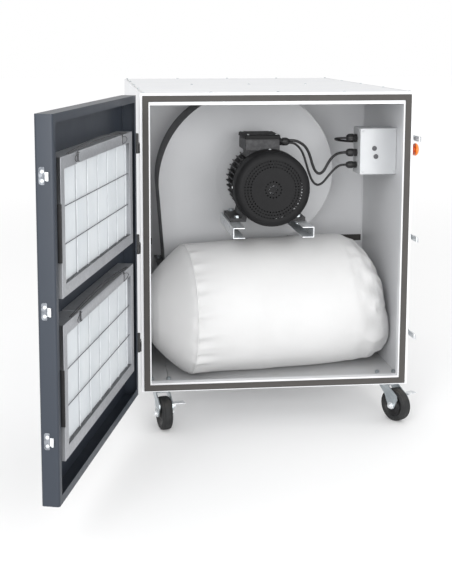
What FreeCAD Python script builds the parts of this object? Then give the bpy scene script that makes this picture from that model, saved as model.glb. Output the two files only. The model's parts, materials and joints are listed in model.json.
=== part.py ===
"""Mobile clean-air dust collector: sheet-steel cabinet, fan, filters, door, casters.

Frame: origin at the middle of the cabinet's footprint on the floor, +X to the right,
+Y to the rear, +Z up, millimetres. The door is stored standing open.
"""
import FreeCAD, Part
import Sketcher
import math
import os

doc = FreeCAD.newDocument("DustCollector")
sheet = doc.addObject("Spreadsheet::Sheet", "Sizes")

DRIVING = {
    # cabinet
    "cabinet_width": 800, "cabinet_depth": 1160, "cabinet_base": 130, "cabinet_tall": 880,
    "panel_thick": 2, "flange_wide": 22, "border_side": 29, "border_top": 35,
    "border_bottom": 26, "gasket_edge": 7.5, "gasket_wide": 17.5, "gasket_thick": 5,
    "partition_back": 15, "rail_low": 468, "rail_tall": 21, "rail_proud": 3,
    "screw_head_radius": 4.5, "screw_radius": 2.4, "screw_play": 0.1, "screw_inset": 11,
    # door and hinges
    "door_angle": 105.5, "door_length": 800, "door_thick": 42, "door_drop": 5,
    "door_lip": 20, "door_play": 0.5, "hinge_stand": 9, "hinge_radius": 5.2,
    "hinge_pin_radius": 3, "pin_play": 0.05, "door_edge": 6, "hinge_tall": 56,
    "hinge_top": 867, "hinge_middle": 575, "hinge_low": 283,
    "slot_long": 180, "slot_tall": 8, "slot_pitch": 30,
    # filter cassettes
    "filter_start": 88, "filter_long": 685, "filter_tall": 312, "filter_deep": 45,
    "filter_border": 28, "filter_proud": 6.5, "filter_upper": 597, "filter_lower": 225,
    "filter_sheet": 1.5, "media_sink": 6, "wire_radius": 1.2, "wire_pitch": 96.5,
    "bar_start": 215, "bar_long": 420, "bar_gap": 11, "bar_tall": 26, "bar_travel": 8,
    "retainer_tall": 130, "retainer_thick": 3, "retainer_drop": 102,
    # fan
    "fan_height": 717, "scroll_front": 217, "scroll_sheet": 1.5, "scroll_plate": 2,
    "scroll_left": 323, "scroll_rise": 284, "scroll_right": 245, "outlet_left": 302,
    "outlet_right": 82, "outlet_low": 430, "tongue_height": 511.5, "tongue_side": 20,
    "outlet_flange": 24, "flange_thick": 3, "cover_radius": 138, "eye_radius": 120,
    "impeller_radius": 200, "impeller_wide": 90, "blade_count": 12, "hub_radius": 30,
    # motor
    "motor_front": 508, "cowl_radius": 114, "cowl_face": 94, "cowl_long": 78,
    "body_radius": 88, "fin_radius": 108, "fin_thick": 3.5, "fin_count": 40,
    "frame_bore": 76, "shield_long": 18, "shaft_radius": 14, "shaft_play": 0.05,
    "shaft_height": 111, "foot_thick": 12, "foot_half_gauge": 95, "foot_long": 160,
    "foot_hole_pitch": 140, "foot_bolt_radius": 5, "rail_wide": 35, "rail_deep": 32,
    "channel_thick": 2.5, "rail_outside": 122, "rail_front": 523,
    "terminal_left": -73, "terminal_right": 32, "terminal_low": 826, "terminal_top": 875,
    "terminal_front": 430, "terminal_back": 290,
    # electrics
    "box_left": 283, "box_front": 421, "box_back": 334, "box_low": 748, "box_top": 891,
    "box_wall": 3, "gland_y": 378, "gland_long": 33, "gland_upper": 858,
    "gland_middle": 813, "gland_lower": 775, "cable_thick": 8.5, "cable_thin": 7,
    "button_y": 553, "button_z": 838, "button_radius": 21, "button_travel": 4,
    # filter bag
    "bag_radius": 198, "bag_y": 326, "bag_turn": 9, "bag_left": 386, "bag_right": 384,
    "bag_clear": 0.4,
    # rear
    "inlet_radius": 80, "inlet_wall": 2, "inlet_long": 90, "inlet_height": 790,
    "inlet_flange": 110, "bin_half": 300, "bin_front": 96, "bin_tall": 380,
    "bin_wall": 2.5, "bin_play": 0.4,
    # casters
    "wheel_radius": 50, "wheel_wide": 32, "axle_radius": 6, "caster_left": -338,
    "caster_right": 364, "caster_y": 500, "trail": 36, "left_swivel": 11,
    "right_swivel": 30, "plate_x": 70, "plate_y": 82, "plate_thick": 4,
    "bolt_x": 51.5, "bolt_y": 61.5, "bolt_radius": 4, "race_radius": 27, "race_low": 112,
    "king_radius": 6, "leg_inside": 19, "leg_thick": 3, "fork_top": 111, "leg_play": 0.3,
    # latches
    "latch_stand": 9, "latch_pivot": 528, "latch_nose": 600, "latch_half": 11,
    "latch_top": 872, "latch_middle": 575, "latch_low": 281,
}


class Size:
    """A number kept together with the sheet formula that gives it."""

    def __init__(self, number, formula):
        self.number = float(number)
        self.formula = formula

    def __add__(self, other):
        return joined(self, "+", other)

    def __radd__(self, other):
        return joined(other, "+", self)

    def __sub__(self, other):
        return joined(self, "-", other)

    def __rsub__(self, other):
        return joined(other, "-", self)

    def __mul__(self, other):
        return joined(self, "*", other)

    def __rmul__(self, other):
        return joined(other, "*", self)

    def __truediv__(self, other):
        return joined(self, "/", other)

    def __neg__(self):
        return joined(0, "-", self)


ACTIONS = {
    "+": lambda a, b: a + b,
    "-": lambda a, b: a - b,
    "*": lambda a, b: a * b,
    "/": lambda a, b: a / b,
}


def sized(value):
    """The value as a Size."""
    if isinstance(value, Size):
        return value
    return Size(value, f"({float(value)!r})")


def joined(left, sign, right):
    """Two values worked into one, as a number and as a formula."""
    a = sized(left)
    b = sized(right)
    return Size(ACTIONS[sign](a.number, b.number), f"({a.formula} {sign} {b.formula})")


def cosine(angle):
    return Size(math.cos(math.radians(angle.number)), f"cos({angle.formula})")


def sine(angle):
    return Size(math.sin(math.radians(angle.number)), f"sin({angle.formula})")


class Sizes:
    """The driving dimensions, one attribute for each cell of the sheet."""

    def __init__(self, table):
        for row, (name, number) in enumerate(table.items(), start=1):
            sheet.set(f"A{row}", name)
            sheet.set(f"B{row}", str(number))
            sheet.setAlias(f"B{row}", name)
            setattr(self, name, Size(number, f"Sizes.{name}"))


D = Sizes(DRIVING)
doc.recompute()

HALF = D.cabinet_width / 2
FRONT = -D.cabinet_depth / 2
REAR = D.cabinet_depth / 2
BASE = D.cabinet_base
TOP = D.cabinet_base + D.cabinet_tall
FLOOR = BASE + D.panel_thick
UNDER_ROOF = TOP - D.panel_thick
PARTITION = -D.partition_back
ORIGIN_ROLE = {"XY": "XY_Plane", "XZ": "XZ_Plane", "YZ": "YZ_Plane"}
AXIS_ROLE = {"X": "X_Axis", "Y": "Y_Axis", "Z": "Z_Axis"}


class Frame:
    """A place for a group of pieces: a point and a turn about an upright axis."""

    def __init__(self, x=0, y=0, z=0, turn=0, clockwise=False):
        self.base = [sized(x), sized(y), sized(z)]
        self.turn = sized(turn)
        self.way = -1 if clockwise else 1

    def put(self, item):
        point = FreeCAD.Vector(*[s.number for s in self.base])
        turn = FreeCAD.Rotation(FreeCAD.Vector(0, 0, self.way), self.turn.number)
        item.Placement = FreeCAD.Placement(point, turn)
        for name, size in zip("xyz", self.base):
            item.setExpression(f"Placement.Base.{name}", size.formula)
        if self.turn.number:
            item.setExpression("Placement.Rotation.Angle", self.turn.formula)


HERE = Frame()


class Outline:
    """A closed loop of straight edges and arcs through named points."""

    def __init__(self, points, arcs=None):
        self.points = [(sized(x), sized(y)) for x, y in points]
        self.arcs = arcs or {}

    def draw(self, sketch):
        count = len(self.points)
        ends = []
        for index in range(count):
            start = self.points[index]
            stop = self.points[(index + 1) % count]
            a = FreeCAD.Vector(start[0].number, start[1].number, 0)
            b = FreeCAD.Vector(stop[0].number, stop[1].number, 0)
            if index in self.arcs:
                number, flipped = self.draw_arc(sketch, a, b, *self.arcs[index])
                ends.append((number, 2, 1) if flipped else (number, 1, 2))
            else:
                number = sketch.addGeometry(Part.LineSegment(a, b), False)
                ends.append((number, 1, 2))
        for index in range(count):
            here = ends[index]
            before = ends[index - 1]
            join = Sketcher.Constraint("Coincident", before[0], before[2], here[0], here[1])
            sketch.addConstraint(join)
        for (x, y), (number, first, _) in zip(self.points, ends):
            fix(sketch, number, first, x, y)

    @staticmethod
    def draw_arc(sketch, a, b, radius, clockwise):
        """An arc from a to b of the radius, its bulge on the side the direction gives."""
        chord = b - a
        half = chord.Length / 2
        reach = math.sqrt(max(radius.number ** 2 - half ** 2, 0.0))
        side = FreeCAD.Vector(-chord.y, chord.x, 0).normalize()
        centre = (a + b) * 0.5 + side * (-reach if clockwise else reach)
        first, last = (b, a) if clockwise else (a, b)
        low = math.atan2(first.y - centre.y, first.x - centre.x)
        high = math.atan2(last.y - centre.y, last.x - centre.x)
        circle = Part.Circle(centre, FreeCAD.Vector(0, 0, 1), radius.number)
        number = sketch.addGeometry(Part.ArcOfCircle(circle, low, high), False)
        rule = sketch.addConstraint(Sketcher.Constraint("Radius", number, radius.number))
        sketch.setExpression(f"Constraints[{rule}]", radius.formula)
        return number, clockwise


class Ring:
    """A full circle."""

    def __init__(self, x, y, radius):
        self.x = sized(x)
        self.y = sized(y)
        self.radius = sized(radius)

    def draw(self, sketch):
        centre = FreeCAD.Vector(self.x.number, self.y.number, 0)
        circle = Part.Circle(centre, FreeCAD.Vector(0, 0, 1), self.radius.number)
        number = sketch.addGeometry(circle, False)
        fix(sketch, number, 3, self.x, self.y)
        rule = Sketcher.Constraint("Radius", number, self.radius.number)
        sketch.setExpression(f"Constraints[{sketch.addConstraint(rule)}]", self.radius.formula)


def fix(sketch, number, corner, x, y):
    """Tie a point of the sketch to its distances from the origin."""
    for kind, size in (("DistanceX", x), ("DistanceY", y)):
        rule = Sketcher.Constraint(kind, -1, 1, number, corner, size.number)
        place = sketch.addConstraint(rule)
        sketch.setExpression(f"Constraints[{place}]", size.formula)


def box(x0, x1, y0, y1):
    """A rectangle given by its two sides each way."""
    return Outline([(x0, y0), (x1, y0), (x1, y1), (x0, y1)])


class Piece:
    """One sub-part as a PartDesign body, built by pads, pockets and turned profiles."""

    def __init__(self, label, frame=HERE):
        self.label = label
        self.body = doc.addObject("PartDesign::Body", label)
        self.body.Label = label
        self.body.AllowCompound = True
        frame.put(self.body)
        PIECES.append(self.body)

    def origin(self, role):
        for feature in self.body.Origin.OriginFeatures:
            if feature.Role == role:
                return feature
        raise ValueError(role)

    def sketch(self, plane, start, loops):
        sketch = self.body.newObject("Sketcher::SketchObject", f"{self.label}_sketch")
        sketch.AttachmentSupport = [(self.origin(ORIGIN_ROLE[plane]), "")]
        sketch.MapMode = "FlatFace"
        offset = -start if plane == "XZ" else start
        base = FreeCAD.Vector(0, 0, offset.number)
        sketch.AttachmentOffset = FreeCAD.Placement(base, FreeCAD.Rotation())
        sketch.setExpression("AttachmentOffset.Base.z", offset.formula)
        for loop in loops:
            loop.draw(sketch)
        return sketch

    def pad(self, plane, start, stop, *loops):
        """Fill the loops from start to stop along the plane's row axis."""
        start = sized(start)
        feature = self.body.newObject("PartDesign::Pad", f"{self.label}_pad")
        feature.Profile = self.sketch(plane, start, loops)
        length = sized(stop) - start
        feature.Length = length.number
        feature.setExpression("Length", length.formula)
        feature.Reversed = plane == "XZ"
        self.body.Tip = feature
        return self

    def pocket(self, plane, start, stop, *loops):
        """Cut the loops away from start to stop along the plane's row axis."""
        start = sized(start)
        feature = self.body.newObject("PartDesign::Pocket", f"{self.label}_pocket")
        feature.Profile = self.sketch(plane, start, loops)
        length = sized(stop) - start
        feature.Length = length.number
        feature.setExpression("Length", length.formula)
        feature.Reversed = plane != "XZ"
        self.body.Tip = feature
        return self

    def turn(self, plane, *loops, kind="PartDesign::Revolution"):
        """Turn the loops once round the plane's first axis."""
        feature = self.body.newObject(kind, f"{self.label}_turn")
        profile = self.sketch(plane, sized(0), loops)
        feature.Profile = profile
        feature.ReferenceAxis = (profile, ["H_Axis"])
        feature.Angle = 360
        self.body.Tip = feature
        return self

    def around(self, axis, count):
        """Repeat the last feature round an axis of the body."""
        feature = self.body.newObject("PartDesign::PolarPattern", f"{self.label}_ring")
        feature.Originals = [self.body.Tip]
        feature.Axis = (self.origin(AXIS_ROLE[axis]), [""])
        feature.Angle = 360
        feature.Occurrences = int(sized(count).number)
        if isinstance(count, Size):
            feature.setExpression("Occurrences", count.formula)
        self.body.Tip = feature
        return self

    def along(self, axis, pitch, count):
        """Repeat the last feature in a row along an axis of the body."""
        feature = self.body.newObject("PartDesign::LinearPattern", f"{self.label}_row")
        feature.Originals = [self.body.Tip]
        feature.Direction = (self.origin(AXIS_ROLE[axis]), [""])
        reach = pitch * (count - 1)
        feature.Length = reach.number
        feature.setExpression("Length", reach.formula)
        feature.Occurrences = count
        self.body.Tip = feature
        return self

    def round_edges(self, radius, wanted):
        """Round the edges of the body that the test picks."""
        doc.recompute()
        edges = self.body.Tip.Shape.Edges
        names = [f"Edge{n + 1}" for n, edge in enumerate(edges) if wanted(edge)]
        base = self.body.Tip
        feature = self.body.newObject("PartDesign::Fillet", f"{self.label}_round")
        feature.Base = (base, names)
        feature.Radius = sized(radius).number
        feature.setExpression("Radius", sized(radius).formula)
        self.body.Tip = feature
        return self


PIECES = []


def upright(edge):
    """True for a straight edge that runs along +Z."""
    if len(edge.Vertexes) < 2:
        return False
    step = edge.Vertexes[1].Point - edge.Vertexes[0].Point
    return abs(abs(step.z) - edge.Length) < 1e-6


# ---------------------------------------------------------------- cabinet sheet metal
SCREW_EDGE = HALF - D.screw_inset
SCREW_FRONT = FRONT + D.screw_inset
SCREW_REAR = REAR - D.screw_inset
SCREW_MIDDLE = PARTITION + D.screw_inset
SIDE_ROWS = [SCREW_FRONT, SCREW_FRONT / 2, sized(0), SCREW_REAR / 2, SCREW_REAR]
CROSS_COLUMNS = [-SCREW_EDGE / 2, sized(0), SCREW_EDGE / 2]
CORNER_X = HALF - D.flange_wide - D.panel_thick


def screw_places():
    """Where the roof is screwed down: both sides, front, rear and over the partition."""
    places = [(side * SCREW_EDGE, y) for side in (-1, 1) for y in SIDE_ROWS]
    for y in (SCREW_FRONT, SCREW_MIDDLE, SCREW_REAR):
        places += [(x, y) for x in CROSS_COLUMNS]
    return places


def holes(places, radius):
    return [Ring(x, y, radius) for x, y in places]


def cabinet():
    """Walls, floor, roof, frame, partition, seal and roof screws."""
    hole = D.screw_radius + D.screw_play
    inner = HALF - D.panel_thick
    for label, way in (("side_wall_left", -1), ("side_wall_right", 1)):
        wall = Piece(label)
        wall.pad("XZ", FRONT + D.panel_thick, REAR - D.panel_thick, Outline([
            (way * HALF, BASE), (way * inner, BASE),
            (way * inner, UNDER_ROOF - D.panel_thick),
            (way * (HALF - D.flange_wide), UNDER_ROOF - D.panel_thick),
            (way * (HALF - D.flange_wide), UNDER_ROOF), (way * HALF, UNDER_ROOF)]))
        spots = [(way * SCREW_EDGE, y) for y in SIDE_ROWS]
        wall.pocket("XY", UNDER_ROOF - D.panel_thick, UNDER_ROOF, *holes(spots, hole))
    roof = Piece("roof_panel")
    roof.pad("XY", UNDER_ROOF, TOP, box(-HALF, HALF, FRONT, REAR))
    roof.pocket("XY", UNDER_ROOF, TOP, *holes(screw_places(), hole))
    screws = Piece("roof_screws")
    shank = D.screw_radius
    screws.pad("XY", UNDER_ROOF - 6, TOP, *holes(screw_places(), shank))
    screws.pad("XY", TOP, TOP + 2.4, *holes(screw_places(), D.screw_head_radius))

    floor = Piece("floor_panel")
    floor.pad("XY", BASE, FLOOR, box(-inner, inner, FRONT + D.panel_thick, REAR - D.panel_thick))
    bolts = [place for x, y, _ in CASTERS for place in bolt_corners(x, y)]
    floor.pocket("XY", BASE, FLOOR, *holes(bolts, D.bolt_radius + D.screw_play))

    gap_x = HALF - D.border_side
    gap_low = BASE + D.border_bottom
    gap_top = TOP - D.border_top
    lip = D.panel_thick
    frame = Piece("front_frame")
    skin = FRONT + D.panel_thick
    frame.pad("XZ", FRONT, skin, box(-HALF, HALF, BASE, UNDER_ROOF),
              box(-gap_x, gap_x, gap_low, gap_top))
    frame.pad("XZ", skin, skin + D.flange_wide,
              box(-gap_x - lip, gap_x + lip, gap_low - lip, gap_top + lip),
              box(-gap_x, gap_x, gap_low, gap_top))
    frame.pad("XY", UNDER_ROOF - lip, UNDER_ROOF, box(-CORNER_X, CORNER_X, skin,
                                                     skin + D.flange_wide))
    front_spots = [(x, SCREW_FRONT) for x in CROSS_COLUMNS]
    frame.pocket("XY", UNDER_ROOF - lip, UNDER_ROOF, *holes(front_spots, hole))

    seal_x = HALF - D.gasket_edge
    seal_low = BASE + D.gasket_edge / 2
    seal_top = TOP - D.gasket_edge
    wide = D.gasket_wide
    seal = Piece("door_gasket")
    seal.pad("XZ", FRONT - D.gasket_thick, FRONT, box(-seal_x, seal_x, seal_low, seal_top),
             box(-seal_x + wide, seal_x - wide, seal_low + wide, seal_top - wide))

    rear = Piece("rear_panel")
    back = REAR - D.panel_thick
    rear.pad("XZ", back, REAR, box(-HALF, HALF, BASE, UNDER_ROOF))
    rear.pad("XY", UNDER_ROOF - lip, UNDER_ROOF, box(-CORNER_X, CORNER_X,
                                                    back - D.flange_wide, back))
    rear_spots = [(x, SCREW_REAR) for x in CROSS_COLUMNS]
    rear.pocket("XY", UNDER_ROOF - lip, UNDER_ROOF, *holes(rear_spots, hole))
    door_half = D.bin_half + 5
    rear.pocket("XZ", back, REAR, box(-door_half, door_half, FLOOR, FLOOR + D.bin_tall + 12),
                Ring(0, D.inlet_height, D.inlet_radius - D.inlet_wall))

    wall = Piece("partition_panel")
    plate = PARTITION + D.panel_thick
    notch = UNDER_ROOF - lip
    wall.pad("XZ", PARTITION, plate, Outline([
        (-inner, FLOOR), (inner, FLOOR), (inner, notch), (CORNER_X, notch),
        (CORNER_X, UNDER_ROOF), (-CORNER_X, UNDER_ROOF), (-CORNER_X, notch),
        (-inner, notch)]), Ring(0, D.fan_height, D.eye_radius))
    wall.pad("XY", UNDER_ROOF - lip, UNDER_ROOF, box(-CORNER_X, CORNER_X, plate,
                                                    plate + D.flange_wide))
    middle_spots = [(x, SCREW_MIDDLE) for x in CROSS_COLUMNS]
    wall.pocket("XY", UNDER_ROOF - lip, UNDER_ROOF, *holes(middle_spots, hole))
    strip = Piece("partition_rail")
    strip.pad("XZ", PARTITION - D.rail_proud, PARTITION,
              box(-inner, -D.outlet_left - D.outlet_flange - 8,
                  D.rail_low, D.rail_low + D.rail_tall),
              box(D.tongue_side + 40, inner, D.rail_low, D.rail_low + D.rail_tall))


# ---------------------------------------------------------------- casters
CASTERS = [
    (D.caster_left, -D.caster_y, D.left_swivel),
    (D.caster_right, -D.caster_y, D.right_swivel),
    (D.caster_left, D.caster_y, None),
    (D.caster_right, D.caster_y, None),
]


def bolt_corners(x, y):
    """The four bolt places of one caster plate."""
    return [(x + a * D.bolt_x / 2, y + b * D.bolt_y / 2) for a in (-1, 1) for b in (-1, 1)]


def fork_legs(piece, trail, wide):
    """Two legs from the crown down to the axle, and the axle between them."""
    inside = D.leg_inside
    outside = inside + D.leg_thick
    axle = D.wheel_radius
    crown = D.fork_top
    for low, high in ((-outside, -inside), (inside, outside)):
        piece.pad("YZ", low, high, Outline([
            (wide, crown), (-wide, crown), (-trail - 24, axle + 34), (-trail - 26, axle + 22),
            (-trail - 11, axle - 8), (-trail + 9, axle - 9), (-trail + 26, axle + 30)]))
    reach = outside + 6
    piece.pad("YZ", -reach, reach, Ring(-trail, axle, D.axle_radius))


def casters():
    """Fixed plates and rigid rear forks, swivel front forks, wheels and brake pedals."""
    mounts = Piece("caster_mounts")
    for x, y, swivel in CASTERS:
        half_x = D.plate_x / 2
        half_y = D.plate_y / 2
        corners = holes(bolt_corners(x, y), D.bolt_radius + D.screw_play)
        mounts.pad("XY", BASE - D.plate_thick, BASE,
                   box(x - half_x, x + half_x, y - half_y, y + half_y), *corners)
        if swivel is None:
            rigid_fork(mounts, x, y)
        else:
            mounts.pad("XY", D.race_low, BASE - D.plate_thick, Ring(x, y, D.race_radius))
            bore = D.king_radius + D.pin_play
            mounts.pocket("XY", D.race_low, BASE, Ring(x, y, bore))
    for name, (x, y, swivel) in zip(("left", "right"), CASTERS[:2]):
        frame = Frame(x, y, 0, swivel)
        fork = Piece(f"front_fork_{name}", frame)
        fork_legs(fork, D.trail, D.leg_inside + 3)
        wide = D.leg_inside + D.leg_thick
        fork.pad("XY", D.fork_top - D.leg_thick, D.fork_top,
                 box(-wide, wide, -D.leg_inside - 3, D.leg_inside + 3))
        fork.pad("XY", D.fork_top, BASE - 1, Ring(0, 0, D.king_radius))
        hub_y = -D.trail - 16
        hub_z = D.wheel_radius + 26
        fork.pad("YZ", wide, wide + 9, Ring(hub_y, hub_z, D.hinge_pin_radius))
        pedal = Piece(f"brake_pedal_{name}", frame)
        start = wide + D.leg_play
        pedal.pad("YZ", start, wide + 8, Ring(hub_y, hub_z, 8),
                  Ring(hub_y, hub_z, D.hinge_pin_radius + D.pin_play))
        pedal.pad("YZ", start, wide + 34, box(hub_y - 16, hub_y + 6, hub_z + 7, hub_z + 10))
    for name, (x, y, swivel) in zip(WHEEL_NAMES, CASTERS):
        turn = sized(0) if swivel is None else swivel
        trail = sized(0) if swivel is None else D.trail
        frame = Frame(x + sine(turn) * trail, y - cosine(turn) * trail, D.wheel_radius, turn)
        half = D.wheel_wide / 2
        wheel = Piece(f"wheel_{name}", frame)
        bore = D.axle_radius + D.pin_play
        rim = D.wheel_radius
        wheel.turn("XZ", Outline([
            (-half - 2, bore), (half + 2, bore), (half + 2, 14), (half - 4, 18),
            (half - 4, rim - 14), (half, rim - 11), (half - 1, rim - 5), (half - 9, rim),
            (-half + 9, rim), (-half + 1, rim - 5), (-half, rim - 11),
            (-half + 4, rim - 14), (-half + 4, 18), (-half - 2, 14)]))


WHEEL_NAMES = ("front_left", "front_right", "rear_left", "rear_right")


def rigid_fork(mounts, x, y):
    """The fork of a fixed caster, hanging straight below its plate."""
    inside = D.leg_inside
    outside = inside + D.leg_thick
    axle = D.wheel_radius
    top = BASE - D.plate_thick
    for low, high in ((x - outside, x - inside), (x + inside, x + outside)):
        mounts.pad("YZ", low, high, Outline([
            (y - 22, top), (y - 22, top - 10), (y - 10, axle - 8), (y + 10, axle - 8),
            (y + 22, top - 10), (y + 22, top)]))
    reach = outside + 6
    mounts.pad("YZ", x - reach, x + reach, Ring(y, axle, D.axle_radius))


# ---------------------------------------------------------------- fan
def scroll_path(inset, low):
    """Points and arcs of the scroll, from the outlet's left side over the top."""
    centre_left = (D.scroll_left - D.scroll_rise) / 2
    bow = D.scroll_left - centre_left
    crown = D.fan_height + D.scroll_rise
    right_bow = D.scroll_right + centre_left
    tongue_bow = crown - right_bow - D.tongue_height
    points = [
        (-D.outlet_left + inset, low), (-D.scroll_left + inset, crown - bow),
        (-centre_left, crown - inset), (D.scroll_right - inset, crown - right_bow),
        (D.scroll_right - tongue_bow, D.tongue_height + inset),
        (-D.outlet_right - inset, D.tongue_height + inset), (-D.outlet_right - inset, low)]
    return points, (bow - inset, right_bow - inset, tongue_bow - inset)


def fan():
    """Scroll housing, inlet nozzle, cover ring, outlet flange and impeller."""
    face = -D.scroll_front
    behind = face + D.scroll_plate
    outer, bows = scroll_path(sized(0), D.outlet_low)
    arcs = {1: (bows[0], True), 2: (bows[1], True), 3: (bows[2], True)}
    plate = Piece("scroll_front_plate")
    plate.pad("XZ", face, behind, Outline(outer, arcs),
              Ring(0, D.fan_height, D.shaft_radius + 12))
    inner, tight = scroll_path(D.scroll_sheet, D.outlet_low)
    wrap_arcs = dict(arcs)
    wrap_arcs.update({9: (tight[2], False), 10: (tight[1], False), 11: (tight[0], False)})
    wrap = Piece("scroll_wrap")
    wrap.pad("XZ", behind, PARTITION, Outline(outer + inner[::-1], wrap_arcs))

    ring = Piece("fan_cover_ring")
    ring.pad("XZ", face - D.scroll_plate, face, Ring(0, D.fan_height, D.cover_radius),
             Ring(0, D.fan_height, D.shaft_radius + 12))

    axis = Frame(0, 0, D.fan_height)
    nozzle = Piece("inlet_cone", axis)
    eye = D.eye_radius
    seat = PARTITION + D.panel_thick
    impeller_front = behind + 12
    mouth = impeller_front + D.impeller_wide + 7
    nozzle.turn("YZ", Outline([
        (seat, eye + 30), (seat + D.scroll_sheet, eye + 30), (seat + D.scroll_sheet, eye - 22),
        (mouth, eye - 32), (mouth, eye - 30), (seat, eye - 20)]))

    flange = Piece("bag_clamp_frame")
    out = D.outlet_flange
    side = D.scroll_sheet
    flange.pad("XY", D.outlet_low - D.flange_thick, D.outlet_low,
               box(-D.outlet_left - out, -D.outlet_right + out, face - out, PARTITION),
               box(-D.outlet_left + side, -D.outlet_right - side, behind, PARTITION - 12))

    wheel = Piece("impeller", axis)
    front = impeller_front
    back_y = front + D.impeller_wide
    disc = 3
    wheel.pad("XZ", front, front + disc, Ring(0, 0, D.impeller_radius),
              Ring(0, 0, D.shaft_radius - 0.5))
    wheel.pad("XZ", front + disc, front + 45, Ring(0, 0, D.hub_radius),
              Ring(0, 0, D.shaft_radius - 0.5))
    wheel.pad("XZ", back_y, back_y + disc, Ring(0, 0, D.impeller_radius), Ring(0, 0, eye))
    tip = D.impeller_radius - 2
    wheel.pad("XZ", front + disc / 2, back_y + disc / 2, Outline([
        (eye + 1, -2), (tip - 26, -52), (tip - 24, -50), (eye + 3, 0)]))
    wheel.around("Y", D.blade_count)


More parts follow.
